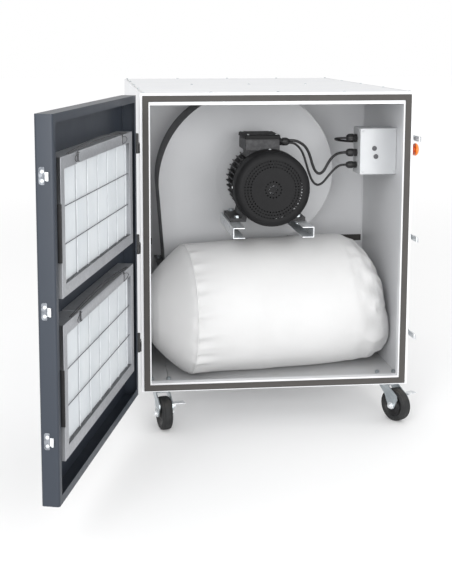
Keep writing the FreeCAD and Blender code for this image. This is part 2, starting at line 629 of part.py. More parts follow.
# ---------------------------------------------------------------- motor
def motor():
    """Foot-mounted motor on two channels, with its shaft, cowl and terminal box."""
    axis = Frame(0, 0, D.fan_height)
    drive = -D.scroll_front - D.scroll_plate
    cowl_front = -D.motor_front
    cowl_back = cowl_front + D.cowl_long
    shield_front = drive - D.shield_long
    foot_z = -D.shaft_height
    middle = (cowl_back + shield_front) / 2
    half_foot = D.foot_long / 2

    housing = Piece("motor_housing", axis)
    fin_start = cowl_back + 1
    housing.pad("XZ", fin_start, shield_front, Ring(0, 0, D.body_radius),
                Ring(0, 0, D.frame_bore))
    housing.pad("XZ", fin_start + 3, shield_front - 3, box(
        D.body_radius - 4, D.fin_radius, -D.fin_thick / 2, D.fin_thick / 2))
    housing.around("Y", D.fin_count)
    inner_foot = D.foot_half_gauge - 27
    outer_foot = D.foot_half_gauge + 22
    for way in (-1, 1):
        housing.pad("XZ", middle - half_foot, middle + half_foot, Outline([
            (way * inner_foot, foot_z), (way * outer_foot, foot_z),
            (way * outer_foot, foot_z + D.foot_thick),
            (way * (inner_foot + 14), foot_z + D.foot_thick),
            (way * (inner_foot + 6), foot_z + 46), (way * (inner_foot - 8), foot_z + 48)]))
    pitch = D.foot_hole_pitch / 2
    spots = [(way * D.foot_half_gauge, middle + end * pitch)
             for way in (-1, 1) for end in (-1, 1)]
    housing.pocket("XY", foot_z, foot_z + 60, *holes(spots, D.foot_bolt_radius + 0.5))
    saddle = D.terminal_low - D.fan_height
    housing.pad("XY", sized(80), saddle, box(
        D.terminal_left + 12, D.terminal_right - 12, -D.terminal_front + 8, -D.terminal_back - 8))

    shields = Piece("motor_end_shields", axis)
    bearing = D.shaft_radius + 11
    shields.turn("YZ", Outline([
        (shield_front, bearing), (drive, bearing), (drive, D.body_radius + 10),
        (shield_front, D.body_radius + 10)]))
    shields.turn("YZ", Outline([
        (cowl_back - 16, bearing), (cowl_back + 1, bearing), (cowl_back + 1, D.body_radius + 10),
        (cowl_back - 16, D.body_radius + 10)]))
    bearings = Piece("bearings", axis)
    for start in (shield_front, cowl_back - 14):
        bearings.pad("XZ", start, start + 13, Ring(0, 0, bearing - 0.02),
                     Ring(0, 0, D.shaft_radius + D.shaft_play))

    stator = Piece("stator", axis)
    rotor_radius = D.shaft_radius + 30
    stator.pad("XZ", fin_start + 22, shield_front - 22, Ring(0, 0, D.frame_bore - 0.05),
               Ring(0, 0, rotor_radius + 0.5))
    shaft = Piece("motor_shaft", axis)
    shaft.pad("XZ", cowl_front + 18, -D.scroll_front + 60, Ring(0, 0, D.shaft_radius))
    shaft.pad("XZ", fin_start + 24, shield_front - 24, Ring(0, 0, rotor_radius))

    cooling = Piece("cooling_fan", axis)
    fan_front = cowl_front + 22
    fan_back = cowl_back - 22
    cooling.pad("XZ", fan_back - 3, fan_back, Ring(0, 0, D.cowl_face - 8),
                Ring(0, 0, D.shaft_radius - 0.5))
    cooling.pad("XZ", fan_front, fan_back - 3, Ring(0, 0, D.shaft_radius + 8),
                Ring(0, 0, D.shaft_radius - 0.5))
    cooling.pad("XZ", fan_front, fan_back - 3, box(D.shaft_radius + 6, D.cowl_face - 8, -1.5, 1.5))
    cooling.around("Y", 8)

    cowl = Piece("fan_cowl", axis)
    skin = sized(2)
    bend = D.cowl_radius - D.cowl_face
    cowl.turn("YZ", Outline([
        (cowl_front, 0), (cowl_front, D.cowl_face), (cowl_front + bend, D.cowl_radius),
        (cowl_back, D.cowl_radius), (cowl_back, D.cowl_radius - skin),
        (cowl_front + bend, D.cowl_radius - skin), (cowl_front + skin, D.cowl_face),
        (cowl_front + skin, 0)],
        {1: (bend, True), 5: (bend - skin, False)}))
    for radius, count in ((86, 60), (77, 54), (68, 48), (24, 16), (12, 8)):
        cowl.pocket("XZ", cowl_front - 1, cowl_front + 4, Ring(radius, 0, 2.3))
        cowl.around("Y", count)

    rails = Piece("motor_rails")
    top = D.fan_height - D.shaft_height
    gauge = D.channel_thick
    for way in (-1, 1):
        outside = way * D.rail_outside
        web = way * (D.rail_outside - gauge)
        lip = way * (D.rail_outside - D.rail_wide)
        rails.pad("XZ", -D.rail_front, -D.scroll_front, Outline([
            (outside, top), (lip, top), (lip, top - gauge), (web, top - gauge),
            (web, top - D.rail_deep + gauge), (lip, top - D.rail_deep + gauge),
            (lip, top - D.rail_deep), (outside, top - D.rail_deep)]))
    rails.pocket("XY", top - gauge, top, *holes(spots, D.foot_bolt_radius + 0.5))

    bolts = Piece("fixing_bolts")
    under = top - gauge
    bolts.pad("XY", under - 8, top + D.foot_thick + 7, *holes(spots, D.foot_bolt_radius))
    bolts.pad("XY", under - 8, under, *[hexagon(x, y, 8.5) for x, y in spots])
    bolts.pad("XY", top + D.foot_thick, top + D.foot_thick + 7,
              *[hexagon(x, y, 8.5) for x, y in spots])
    corners = [place for x, y, _ in CASTERS for place in bolt_corners(x, y)]
    low = BASE - D.plate_thick
    bolts.pad("XY", low - 5, FLOOR + 9, *holes(corners, D.bolt_radius))
    bolts.pad("XY", low - 5, low, *[hexagon(x, y, 7) for x, y in corners])
    bolts.pad("XY", FLOOR, FLOOR + 6.5, *[hexagon(x, y, 7) for x, y in corners])
    left = -D.outlet_left - D.outlet_flange / 2
    right = -D.outlet_right + D.outlet_flange / 2
    clamps = [(x, PARTITION + y) for x in (left, right) for y in (-35, -60)]
    bolts.pad("XY", D.outlet_low, D.outlet_low + 5, *holes(clamps, sized(5.5)))

    terminal = Piece("terminal_box")
    x0, x1 = D.terminal_left, D.terminal_right
    y0, y1 = -D.terminal_front, -D.terminal_back
    seam = D.terminal_top - 14
    wall = D.box_wall
    terminal.pad("XY", D.terminal_low, seam, box(x0, x1, y0, y1))
    terminal.pocket("XY", D.terminal_low + wall, seam, box(x0 + wall, x1 - wall,
                                                          y0 + wall, y1 - wall))
    terminal.pad("XY", seam + 0.2, D.terminal_top, box(x0 - 2, x1 + 2, y0 - 2, y1 + 2))


def hexagon(x, y, reach):
    """A bolt head or nut outline with the corner distance reach."""
    turns = [(math.cos(math.radians(60 * n)), math.sin(math.radians(60 * n))) for n in range(6)]
    return Outline([(x + c * reach, y + s * reach) for c, s in turns])


# ---------------------------------------------------------------- electrics
CABLE_UPPER = [(66, -404, 855), (82, -404, 855), (98, -403, 849), (114, -401, 838),
               (126, -399, 821), (134, -397, 800), (141, -395, 777), (150, -393, 757),
               (163, -391, 748), (177, -389, 756), (187, -387, 774), (199, -385, 793),
               (214, -382, 807), (232, -378, 813), (250, -378, 813)]
CABLE_LOWER = [(66, -395, 847), (80, -395, 847), (94, -394, 837), (106, -393, 823),
               (115, -391, 804), (122, -390, 782), (129, -388, 759), (137, -387, 737),
               (147, -385, 720), (161, -383, 712), (176, -382, 719), (189, -380, 734),
               (203, -379, 751), (218, -378, 766), (233, -378, 775), (250, -378, 775)]
CABLE_SUPPLY = [(250, -378, 858), (238, -378, 858), (226, -373, 857), (220, -362, 855),
                (221, -349, 852), (229, -338, 849), (242, -330, 846), (260, -325, 844),
                (282, -322, 842), (308, -320, 841), (340, -318, 840), (364, -317, 840),
                (388, -317, 840)]


def cord(label, points, thick):
    """A cable: straight runs joined by arcs, each as large as its two runs allow."""
    route = [FreeCAD.Vector(*point) for point in points]
    edges = []
    start = route[0]
    tightest = 1e9
    for before, here, after in zip(route, route[1:], route[2:]):
        back = (before - here).normalize()
        ahead = (after - here).normalize()
        bend = math.pi - back.getAngle(ahead)
        take = 0.45 * min((before - here).Length, (after - here).Length)
        radius = take / math.tan(bend / 2)
        tightest = min(tightest, radius)
        enter = here + back * take
        leave = here + ahead * take
        inward = (back + ahead).normalize()
        depth = radius / math.cos(bend / 2)
        top = here + inward * (depth - radius)
        edges.append(Part.LineSegment(start, enter).toShape())
        edges.append(Part.Arc(enter, top, leave).toShape())
        start = leave
    edges.append(Part.LineSegment(start, route[-1]).toShape())
    path = Part.Wire(edges)
    circle = Part.Circle(route[0], route[1] - route[0], thick.number / 2)
    profile = Part.Wire([circle.toShape()])
    solid = path.makePipeShell([profile], True, False)
    expected = math.pi * thick.number ** 2 / 4 * path.Length
    print(f"{label}: length {path.Length:.1f}, tightest radius {tightest:.1f}, "
          f"volume ratio {solid.Volume / expected:.4f}")
    item = doc.addObject("Part::Feature", label)
    item.Label = label
    item.Shape = solid
    item.Placement = FreeCAD.Placement()
    PIECES.append(item)


def electrics():
    """Control box, its glands and plugs, the cables and the stop button."""
    wall = HALF - D.panel_thick
    cabinet_box = Piece("control_box")
    cabinet_box.pad("YZ", D.box_left, wall, box(-D.box_front, -D.box_back, D.box_low, D.box_top))
    gauge = D.box_wall
    cabinet_box.pocket("YZ", D.box_left + gauge, wall, box(
        -D.box_front + gauge, -D.box_back - gauge, D.box_low + gauge, D.box_top - gauge))
    plugs = Piece("box_plugs")
    plugs.pad("XZ", -D.box_front - 2, -D.box_front,
              Ring(D.box_left + 45, D.box_low + 81, 7.5), Ring(D.box_left + 50, D.box_low + 56, 7.5))

    glands = Piece("cable_glands")
    mouth = D.box_left - D.gland_long
    rows = ((D.gland_upper, 13.5), (D.gland_middle, 12.5), (D.gland_lower, 11))
    glands.pad("YZ", mouth + 14, D.box_left, *[Ring(-D.gland_y, z, r) for z, r in rows])
    glands.pad("YZ", mouth, mouth + 14, *[Ring(-D.gland_y, z, r - 2) for z, r in rows])
    motor_gland_z = D.terminal_low + 25
    motor_gland_y = -D.terminal_front + 30
    mouth_x = D.terminal_right + 34
    glands.pad("YZ", D.terminal_right, mouth_x - 14, Ring(motor_gland_y, motor_gland_z, 9.4))
    glands.pad("YZ", mouth_x - 14, mouth_x, Ring(motor_gland_y, motor_gland_z, 12.5))
    glands.pad("YZ", wall - 10, wall, Ring(-317, 840, 10))
    cord("motor_cable_upper", CABLE_UPPER, D.cable_thick)
    cord("motor_cable_lower", CABLE_LOWER, D.cable_thin)
    cord("supply_cable", CABLE_SUPPLY, D.cable_thin)

    base = Piece("stop_button_base", Frame(HALF, -D.button_y, D.button_z))
    base.pad("YZ", 0, 9, Ring(0, 0, D.button_radius), Ring(0, 0, 8 + D.pin_play))
    button = Piece("stop_button", Frame(HALF, -D.button_y, D.button_z))
    gap = 9 + D.button_travel + 0.5
    button.pad("YZ", 1 + D.button_travel, gap, Ring(0, 0, 8))
    button.turn("XZ", Outline([
        (gap, 0), (gap, D.button_radius - 3), (gap + 5, D.button_radius - 3),
        (gap + 10, D.button_radius - 11), (gap + 12, 0)]))


# ---------------------------------------------------------------- bag and rear
def filter_bag():
    """The closed outer shape of the filter bag and its neck up to the fan outlet."""
    height = FLOOR + D.bag_radius + D.bag_clear
    bag = Piece("filter_bag", Frame(0, -D.bag_y, height, D.bag_turn))
    full = D.bag_radius
    bag.turn("XZ", Outline([
        (-D.bag_left, 0), (-D.bag_left + 4, 70), (-D.bag_left + 34, 140),
        (-D.bag_left + 78, full - 14), (-D.bag_left + 124, full - 4), (-60, full - 1),
        (80, full), (D.bag_right - 150, full - 2), (D.bag_right - 66, full - 30),
        (D.bag_right - 22, 120), (D.bag_right - 4, 60), (D.bag_right, 0)]))
    above = D.outlet_low - D.flange_thick - height - D.bag_clear
    bag.pocket("XY", above, above + D.bag_radius, box(
        -D.outlet_left - D.outlet_flange - 30, -D.outlet_right + D.outlet_flange + 50,
        D.bag_y - D.scroll_front - D.outlet_flange - 46, D.bag_y))
    bag.pad("XY", above - 120, above, box(
        -D.outlet_left + 52, -D.outlet_right - 6, D.bag_y - D.scroll_front + 40,
        D.bag_y - D.partition_back - 40))


def rear():
    """Inlet spigot and the dust bin that slides out at the back."""
    spigot = Piece("inlet_spigot", Frame(0, REAR, D.inlet_height))
    bore = D.inlet_radius - D.inlet_wall
    spigot.turn("YZ", Outline([
        (0, bore), (D.inlet_long, bore), (D.inlet_long, D.inlet_radius),
        (3, D.inlet_radius), (3, D.inlet_flange), (0, D.inlet_flange)]))
    dust_bin = Piece("dust_bin")
    low = FLOOR + D.bin_play
    top = low + D.bin_tall
    skin = REAR + D.bin_play
    half = D.bin_half
    gauge = D.bin_wall
    dust_bin.pad("XY", low, top, box(-half, half, D.bin_front, skin))
    dust_bin.pad("XZ", skin, skin + 3, box(-half - 20, half + 20, low, top + 24))
    dust_bin.pocket("XY", low + gauge, top, box(-half + gauge, half - gauge,
                                               D.bin_front + gauge, skin - gauge))
    grip = skin + 3
    dust_bin.pad("XY", top - 70, top - 58, Outline([
        (-70, grip), (-70, grip + 34), (70, grip + 34), (70, grip), (58, grip),
        (58, grip + 22), (-58, grip + 22), (-58, grip)]))


# ---------------------------------------------------------------- door
DOOR = Frame(-HALF - D.hinge_stand, FRONT - D.gasket_thick - 1, 0, D.door_angle, clockwise=True)
RIM_IN = D.door_play
RIM_OUT = D.door_play - D.door_thick
DOOR_LOW = BASE
DOOR_TOP = TOP - D.door_drop
HINGE_ROWS = (D.hinge_top, D.hinge_middle, D.hinge_low)
LATCH_ROWS = (D.latch_top, D.latch_middle, D.latch_low)
CASSETTES = (("upper", D.filter_upper), ("lower", D.filter_lower))


def door():
    """Tray-shaped door with slotted outer face, hinge halves and strikes."""
    sheet_thick = D.panel_thick
    near = D.door_edge
    far = D.door_edge + D.door_length
    low, top = DOOR_LOW, DOOR_TOP
    panel = Piece("door_panel", DOOR)
    panel.pad("XZ", RIM_OUT, RIM_IN, box(near, far, low, top))
    panel.round_edges(6, upright)
    lip = D.door_lip
    panel.pocket("XZ", RIM_OUT + sheet_thick, RIM_IN - sheet_thick, box(
        near + sheet_thick, far - sheet_thick, low + sheet_thick, top - sheet_thick))
    panel.pocket("XZ", RIM_IN - sheet_thick - 1, RIM_IN, box(
        near + lip, far - lip, low + lip, top - lip))
    for _, bottom in CASSETTES:
        first = bottom + 32
        columns = [box(D.filter_start + 46 + n * 205, D.filter_start + 46 + n * 205 + D.slot_long,
                       first, first + D.slot_tall) for n in range(3)]
        panel.pocket("XZ", RIM_OUT, RIM_OUT + sheet_thick, *columns)
        panel.along("Z", D.slot_pitch, 9)

    half = D.hinge_tall / 2
    radius = D.hinge_radius
    pin = D.hinge_pin_radius
    moving = Piece("hinge_door_halves", DOOR)
    fixed = Piece("hinge_cabinet_halves", Frame(-HALF - D.hinge_stand, FRONT - D.gasket_thick - 1))
    for z in HINGE_ROWS:
        moving.pad("XY", z + 0.4, z + half, Ring(0, 0, radius), Ring(0, 0, pin + D.pin_play))
        moving.pad("XY", z + 0.4, z + half, box(radius - 2, near, RIM_OUT + 4, -0.5))
        fixed.pad("XY", z - half, z - 0.4, Ring(0, 0, radius))
        fixed.pad("XY", z - 0.4, z + half - 2, Ring(0, 0, pin))
        stand = D.hinge_stand
        fixed.pad("XY", z - half, z - 0.4, Outline([
            (radius - 3, 2), (radius - 1, 2), (stand, 6), (stand, 44), (stand - 2, 44),
            (stand - 2, 8), (radius - 4, 4)]))

    strikes = Piece("latch_strikes", DOOR)
    middle = (RIM_OUT + RIM_IN) / 2
    for z in LATCH_ROWS:
        strikes.pad("YZ", far, far + 1.6, box(middle - 12, middle + 11, z - 19, z + 20))
        strikes.pad("YZ", far + 1.6, far + 3.8, Ring(middle - 4, z + 10, 4.5),
                    Ring(middle - 4, z - 10, 4.5))
        strikes.pad("YZ", far + 1.6, far + 7, box(middle + 8, middle + 10, z - 10, z + 9))


def cassettes():
    """Two panel filters with media, wire grid, side retainers and clamp bars."""
    start = D.filter_start
    stop = start + D.filter_long
    face = D.filter_proud
    back = face - D.filter_deep
    rim = D.filter_border
    gauge = D.filter_sheet
    frames = Piece("filter_frames", DOOR)
    media = Piece("filter_media", DOOR)
    grids = Piece("filter_grids", DOOR)
    retainers = Piece("side_retainers", DOOR)
    bar_stop = D.bar_start + D.bar_long
    for name, low in CASSETTES:
        top = low + D.filter_tall
        frames.pad("XZ", back, face, box(start, stop, low, top),
                   box(start + rim, stop - rim, low + rim, top - rim))
        frames.pocket("XZ", face - 8, face, box(D.bar_start - D.bar_gap, bar_stop + D.bar_gap,
                                               top - rim, top))
        media.pad("XZ", back + gauge, face - D.media_sink - 2 * D.wire_radius,
                  box(start + rim, stop - rim, low + rim, top - rim))
        wire = face - D.media_sink
        thick = D.wire_radius * 2
        half = D.wire_radius
        columns = [start + D.filter_long / 2 + (n - 3) * D.wire_pitch for n in range(7)]
        grids.pad("XZ", wire - thick, wire - half, *[
            box(x - half, x + half, low + rim, top - rim) for x in columns])
        rows = [low + rim + (D.filter_tall - 2 * rim) * n / 3 for n in (1, 2)]
        grids.pad("XZ", wire - half, wire, *[
            box(start + rim, stop - rim, z - half, z + half) for z in rows])
        strip_top = top - D.retainer_drop
        retainers.pad("XZ", face - 18, face + 1, box(
            stop, stop + D.retainer_thick, strip_top - D.retainer_tall, strip_top))
        bar = Piece(f"clamp_bar_{name}", DOOR)
        bar_low = top - D.bar_tall
        sheet_bar = sized(2)
        base = face - 8 + 0.3
        bar.pad("XZ", base, face + 3, box(D.bar_start, bar_stop, bar_low, bar_low + 3))
        bar.pad("XZ", base, base + sheet_bar, box(D.bar_start, bar_stop, bar_low, top + 1))
        bar.pad("XZ", base, face + 3, box(D.bar_start, bar_stop, top - 1, top + 1))
        bar.pad("XZ", face + 1, face + 3, box(D.bar_start, bar_stop, bar_low, top + 1))
        bar_middle = (D.bar_start + bar_stop) / 2
        reach = D.bar_long / 2 + 70
        bar.pad("XZ", base, base + 5, Outline([
            (bar_middle - reach, top + 2), (bar_middle - reach / 2, top + 10),
            (bar_middle, top + 13), (bar_middle + reach / 2, top + 10),
            (bar_middle + reach, top + 2), (bar_middle + reach, top + 4),
            (bar_middle + reach / 2, top + 12), (bar_middle, top + 15),
            (bar_middle - reach / 2, top + 12), (bar_middle - reach, top + 4)]))
        bar.pad("XZ", base, base + 5, box(bar_middle - 30, bar_middle + 30, top + 1, top + 13))


def latches():
    """Latch bases on the right wall and the lever of each."""
    bases = Piece("latch_bases")
    post = D.hinge_pin_radius
    x = HALF + D.latch_stand
    y = -D.latch_pivot
    half = D.latch_half
    lug = 3
    for name, z in zip(("top", "middle", "bottom"), LATCH_ROWS):
        bases.pad("YZ", HALF, HALF + 2, box(FRONT + 4, y + 14, z - half, z + half))
        for low in (z - half, z + half - lug):
            bases.pad("XY", low, low + lug, box(HALF + 2, x + 5, y - 6, y + 6))
        bases.pad("XY", z - half + lug, z + half - lug, Ring(x, y, post))
        lever = Piece(f"latch_lever_{name}", Frame(x, y, z))
        reach = half - lug - 0.3
        lever.pad("XY", -reach, reach, Ring(0, 0, 5), Ring(0, 0, post + D.pin_play))
        nose = D.latch_pivot - D.latch_nose
        lever.pad("XY", -reach, reach, Outline([
            (2, -4), (4.5, -4), (4.5, -30), (8, -42), (8, nose - 4), (5.5, nose),
            (3, nose), (3, nose + 14), (2, nose + 30)]))


cabinet()
casters()
fan()
motor()
electrics()
filter_bag()
rear()
door()
cassettes()
latches()
doc.recompute()

problems = []
for item in doc.Objects:
    if "Invalid" in item.State or "Error" in item.State:
        problems.append(f"{item.Label} {item.State}")
for piece in PIECES:
    if piece.Shape.isNull() or not piece.Shape.isValid() or not piece.Shape.Solids:
        problems.append(f"{piece.Label} has no sound solid")
if problems:
    raise RuntimeError("; ".join(problems))
os.makedirs("parts", exist_ok=True)
for piece in PIECES:
    piece.Shape.exportStep(f"parts/{piece.Label}.step")
    print(piece.Label, len(piece.Shape.Solids), round(piece.Shape.Volume / 1000, 1))
print(len(PIECES), "sub-parts")
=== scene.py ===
"""Looks of the mobile dust collector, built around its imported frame.

Sizes inside the builders are in millimetres in the row frame: origin at the middle of
the cabinet's footprint on the floor, +X right, +Y rear, +Z up. Meshes go out in metres.
"""

import json
import logging
import math
from collections.abc import Iterable, Sequence
from dataclasses import dataclass, field
from enum import Enum

import bmesh
import bpy
from mathutils import Matrix, Vector, noise

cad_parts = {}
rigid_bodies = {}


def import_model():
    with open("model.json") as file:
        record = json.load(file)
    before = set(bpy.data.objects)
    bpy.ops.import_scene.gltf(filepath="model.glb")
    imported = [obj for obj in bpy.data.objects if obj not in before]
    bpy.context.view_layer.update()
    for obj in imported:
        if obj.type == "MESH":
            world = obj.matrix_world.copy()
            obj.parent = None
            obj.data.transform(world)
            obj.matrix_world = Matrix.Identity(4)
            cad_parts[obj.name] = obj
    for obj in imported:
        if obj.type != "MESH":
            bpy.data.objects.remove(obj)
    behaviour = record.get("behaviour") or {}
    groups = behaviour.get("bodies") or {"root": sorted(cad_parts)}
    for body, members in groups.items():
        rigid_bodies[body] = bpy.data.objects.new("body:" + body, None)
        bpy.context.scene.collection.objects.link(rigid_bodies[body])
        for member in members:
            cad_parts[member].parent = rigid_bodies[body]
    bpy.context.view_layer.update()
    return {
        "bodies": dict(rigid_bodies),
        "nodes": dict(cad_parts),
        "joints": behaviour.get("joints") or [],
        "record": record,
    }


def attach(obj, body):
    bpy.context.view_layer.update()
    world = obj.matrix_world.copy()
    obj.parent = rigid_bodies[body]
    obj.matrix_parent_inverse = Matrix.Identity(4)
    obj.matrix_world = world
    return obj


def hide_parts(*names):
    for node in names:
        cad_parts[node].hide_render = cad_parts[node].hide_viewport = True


LOG = logging.getLogger("dust_collector")
MM = 0.001
Colour = tuple[float, float, float]
Point = tuple[float, float, float]
Flat = tuple[float, float]


class Axis(Enum):
    """The row axis that a form runs along."""

    X = 0
    Y = 1
    Z = 2


class Grain(Enum):
    """The fine relief of a finish."""

    PEEL = "powder coat"
    CAST = "cast metal"
    SPANGLE = "zinc crystals"
    BRUSHED = "drawn metal"
    WEAVE = "plain weave"
    FIBRE = "laid fibre"
    STACK = "stacked sheets"
    MOULD = "moulded plastic"


def display(red: float, green: float, blue: float) -> Colour:
    """Give the linear colour of a display colour.

    Args:
        red: Red level, 0 to 255.
        green: Green level, 0 to 255.
        blue: Blue level, 0 to 255.

    Returns:
        The three linear levels, 0 to 1.
    """
    shares = [level / 255 for level in (red, green, blue)]
    return tuple(s / 12.92 if s <= 0.04045 else ((s + 0.055) / 1.055) ** 2.4 for s in shares)


# ------------------------------------------------------------------ shader arithmetic
class Value:
    """A shader socket that adds Math nodes when it is worked with."""

    def __init__(self, recipe: "Recipe", socket: bpy.types.NodeSocket) -> None:
        """Keep the socket and the recipe that it belongs to."""
        self.recipe = recipe
        self.socket = socket

    def worked(self, operation: str, *terms: "Value | float") -> "Value":
        """Add a Math node.

        Args:
            operation: The node's operation.
            terms: Its inputs in order.

        Returns:
            The node's result.
        """
        return self.recipe.node(
            "ShaderNodeMath", {"operation": operation}, dict(enumerate(terms))
        )

    def __add__(self, other: "Value | float") -> "Value":
        """Sum."""
        return self.worked("ADD", self, other)

    def __radd__(self, other: float) -> "Value":
        """Sum, reflected."""
        return self.worked("ADD", other, self)

    def __sub__(self, other: "Value | float") -> "Value":
        """Difference."""
        return self.worked("SUBTRACT", self, other)

    def __rsub__(self, other: float) -> "Value":
        """Difference, reflected."""
        return self.worked("SUBTRACT", other, self)

    def __mul__(self, other: "Value | float") -> "Value":
        """Product."""
        return self.worked("MULTIPLY", self, other)

    def __rmul__(self, other: float) -> "Value":
        """Product, reflected."""
        return self.worked("MULTIPLY", other, self)

    def step(self, low: float, high: float) -> "Value":
        """Give 0 below low, 1 above high and a smooth step between them."""
        return self.recipe.node(
            "ShaderNodeMapRange",
            {"interpolation_type": "SMOOTHSTEP"},
            {"Value": self, "From Min": low, "From Max": high},
        )


class Recipe:
    """One node material under construction."""

    def __init__(self, name: str) -> None:
        """Start a material with an empty Principled shader."""
        self.material = bpy.data.materials.new(name)
        self.material.use_nodes = True
        self.tree = self.material.node_tree
        self.shader = self.tree.nodes["Principled BSDF"]

    def node(
        self,
        kind: str,
        settings: dict[str, object] | None = None,
        inputs: dict[str | int, object] | None = None,
        output: str | int = 0,
    ) -> Value:
        """Add a node.

        Args:
            kind: The node's type.
            settings: Its own settings, set before its sockets.
            inputs: A value or a link for each named or numbered socket.
            output: The output that is wanted.

        Returns:
            That output.
        """
        made = self.tree.nodes.new(kind)
        for name, setting in (settings or {}).items():
            setattr(made, name, setting)
        for name, value in (inputs or {}).items():
            if isinstance(value, Value):
                self.tree.links.new(value.socket, made.inputs[name])
            else:
                made.inputs[name].default_value = value
        return Value(self, made.outputs[output])

    def place(self, stretch: Point = (1.0, 1.0, 1.0)) -> Value:
        """Give the point on the piece in the row frame, stretched along each axis."""
        point = self.node("ShaderNodeTexCoord", output="Object")
        return self.node(
            "ShaderNodeVectorMath", {"operation": "MULTIPLY"}, {0: point, 1: stretch}
        )

    def part(self, axis: Axis) -> Value:
        """Give one coordinate of the point on the piece, in metres."""
        return self.node("ShaderNodeSeparateXYZ", {}, {0: self.place()}, axis.value)

    def cloud(self, scale: float, detail: float = 3.0, stretch: Point = (1.0, 1.0, 1.0)) -> Value:
        """Give fractal noise.

        Args:
            scale: Lumps per metre.
            detail: Octaves of finer lumps.
            stretch: How much denser the lumps are along each axis.

        Returns:
            The noise, about 0.5.
        """
        return self.node(
            "ShaderNodeTexNoise",
            {},
            {"Vector": self.place(stretch), "Scale": scale, "Detail": detail},
        )

    def cells(self, scale: float) -> Value:
        """Give one random level for each cell of a crystal pattern."""
        colour = self.node(
            "ShaderNodeTexVoronoi", {}, {"Vector": self.place(), "Scale": scale}, "Color"
        )
        return self.node("ShaderNodeSeparateColor", {}, {0: colour})

    def threads(self, axis: Axis, pitch: float) -> Value:
        """Give a wave with one crest for each thread.

        Args:
            axis: The axis across the threads.
            pitch: Metres from thread to thread.

        Returns:
            The wave, 0 to 1.
        """
        turn = self.part(axis) * (2 * math.pi / pitch)
        return turn.worked("SINE", turn) * 0.5 + 0.5

    def blend(self, share: "Value | float", first: object, second: object) -> Value:
        """Mix two colours, by a share of the second."""
        return self.node(
            "ShaderNodeMix", {"data_type": "RGBA"}, {0: share, 6: first, 7: second}, 2
        )

    def relief(self, height: Value, depth: float, strength: float = 1.0) -> Value:
        """Give the normal of a rough surface.

        Args:
            height: The surface's height.
            depth: Its depth in metres.
            strength: How much it counts.

        Returns:
            The normal.
        """
        return self.node(
            "ShaderNodeBump",
            {},
            {"Height": height, "Distance": depth, "Strength": strength},
            "Normal",
        )

    def feed(self, socket: str, value: object) -> None:
        """Link or set one socket of the Principled shader."""
        if isinstance(value, Value):
            self.tree.links.new(value.socket, self.shader.inputs[socket])
        else:
            self.shader.inputs[socket].default_value = value


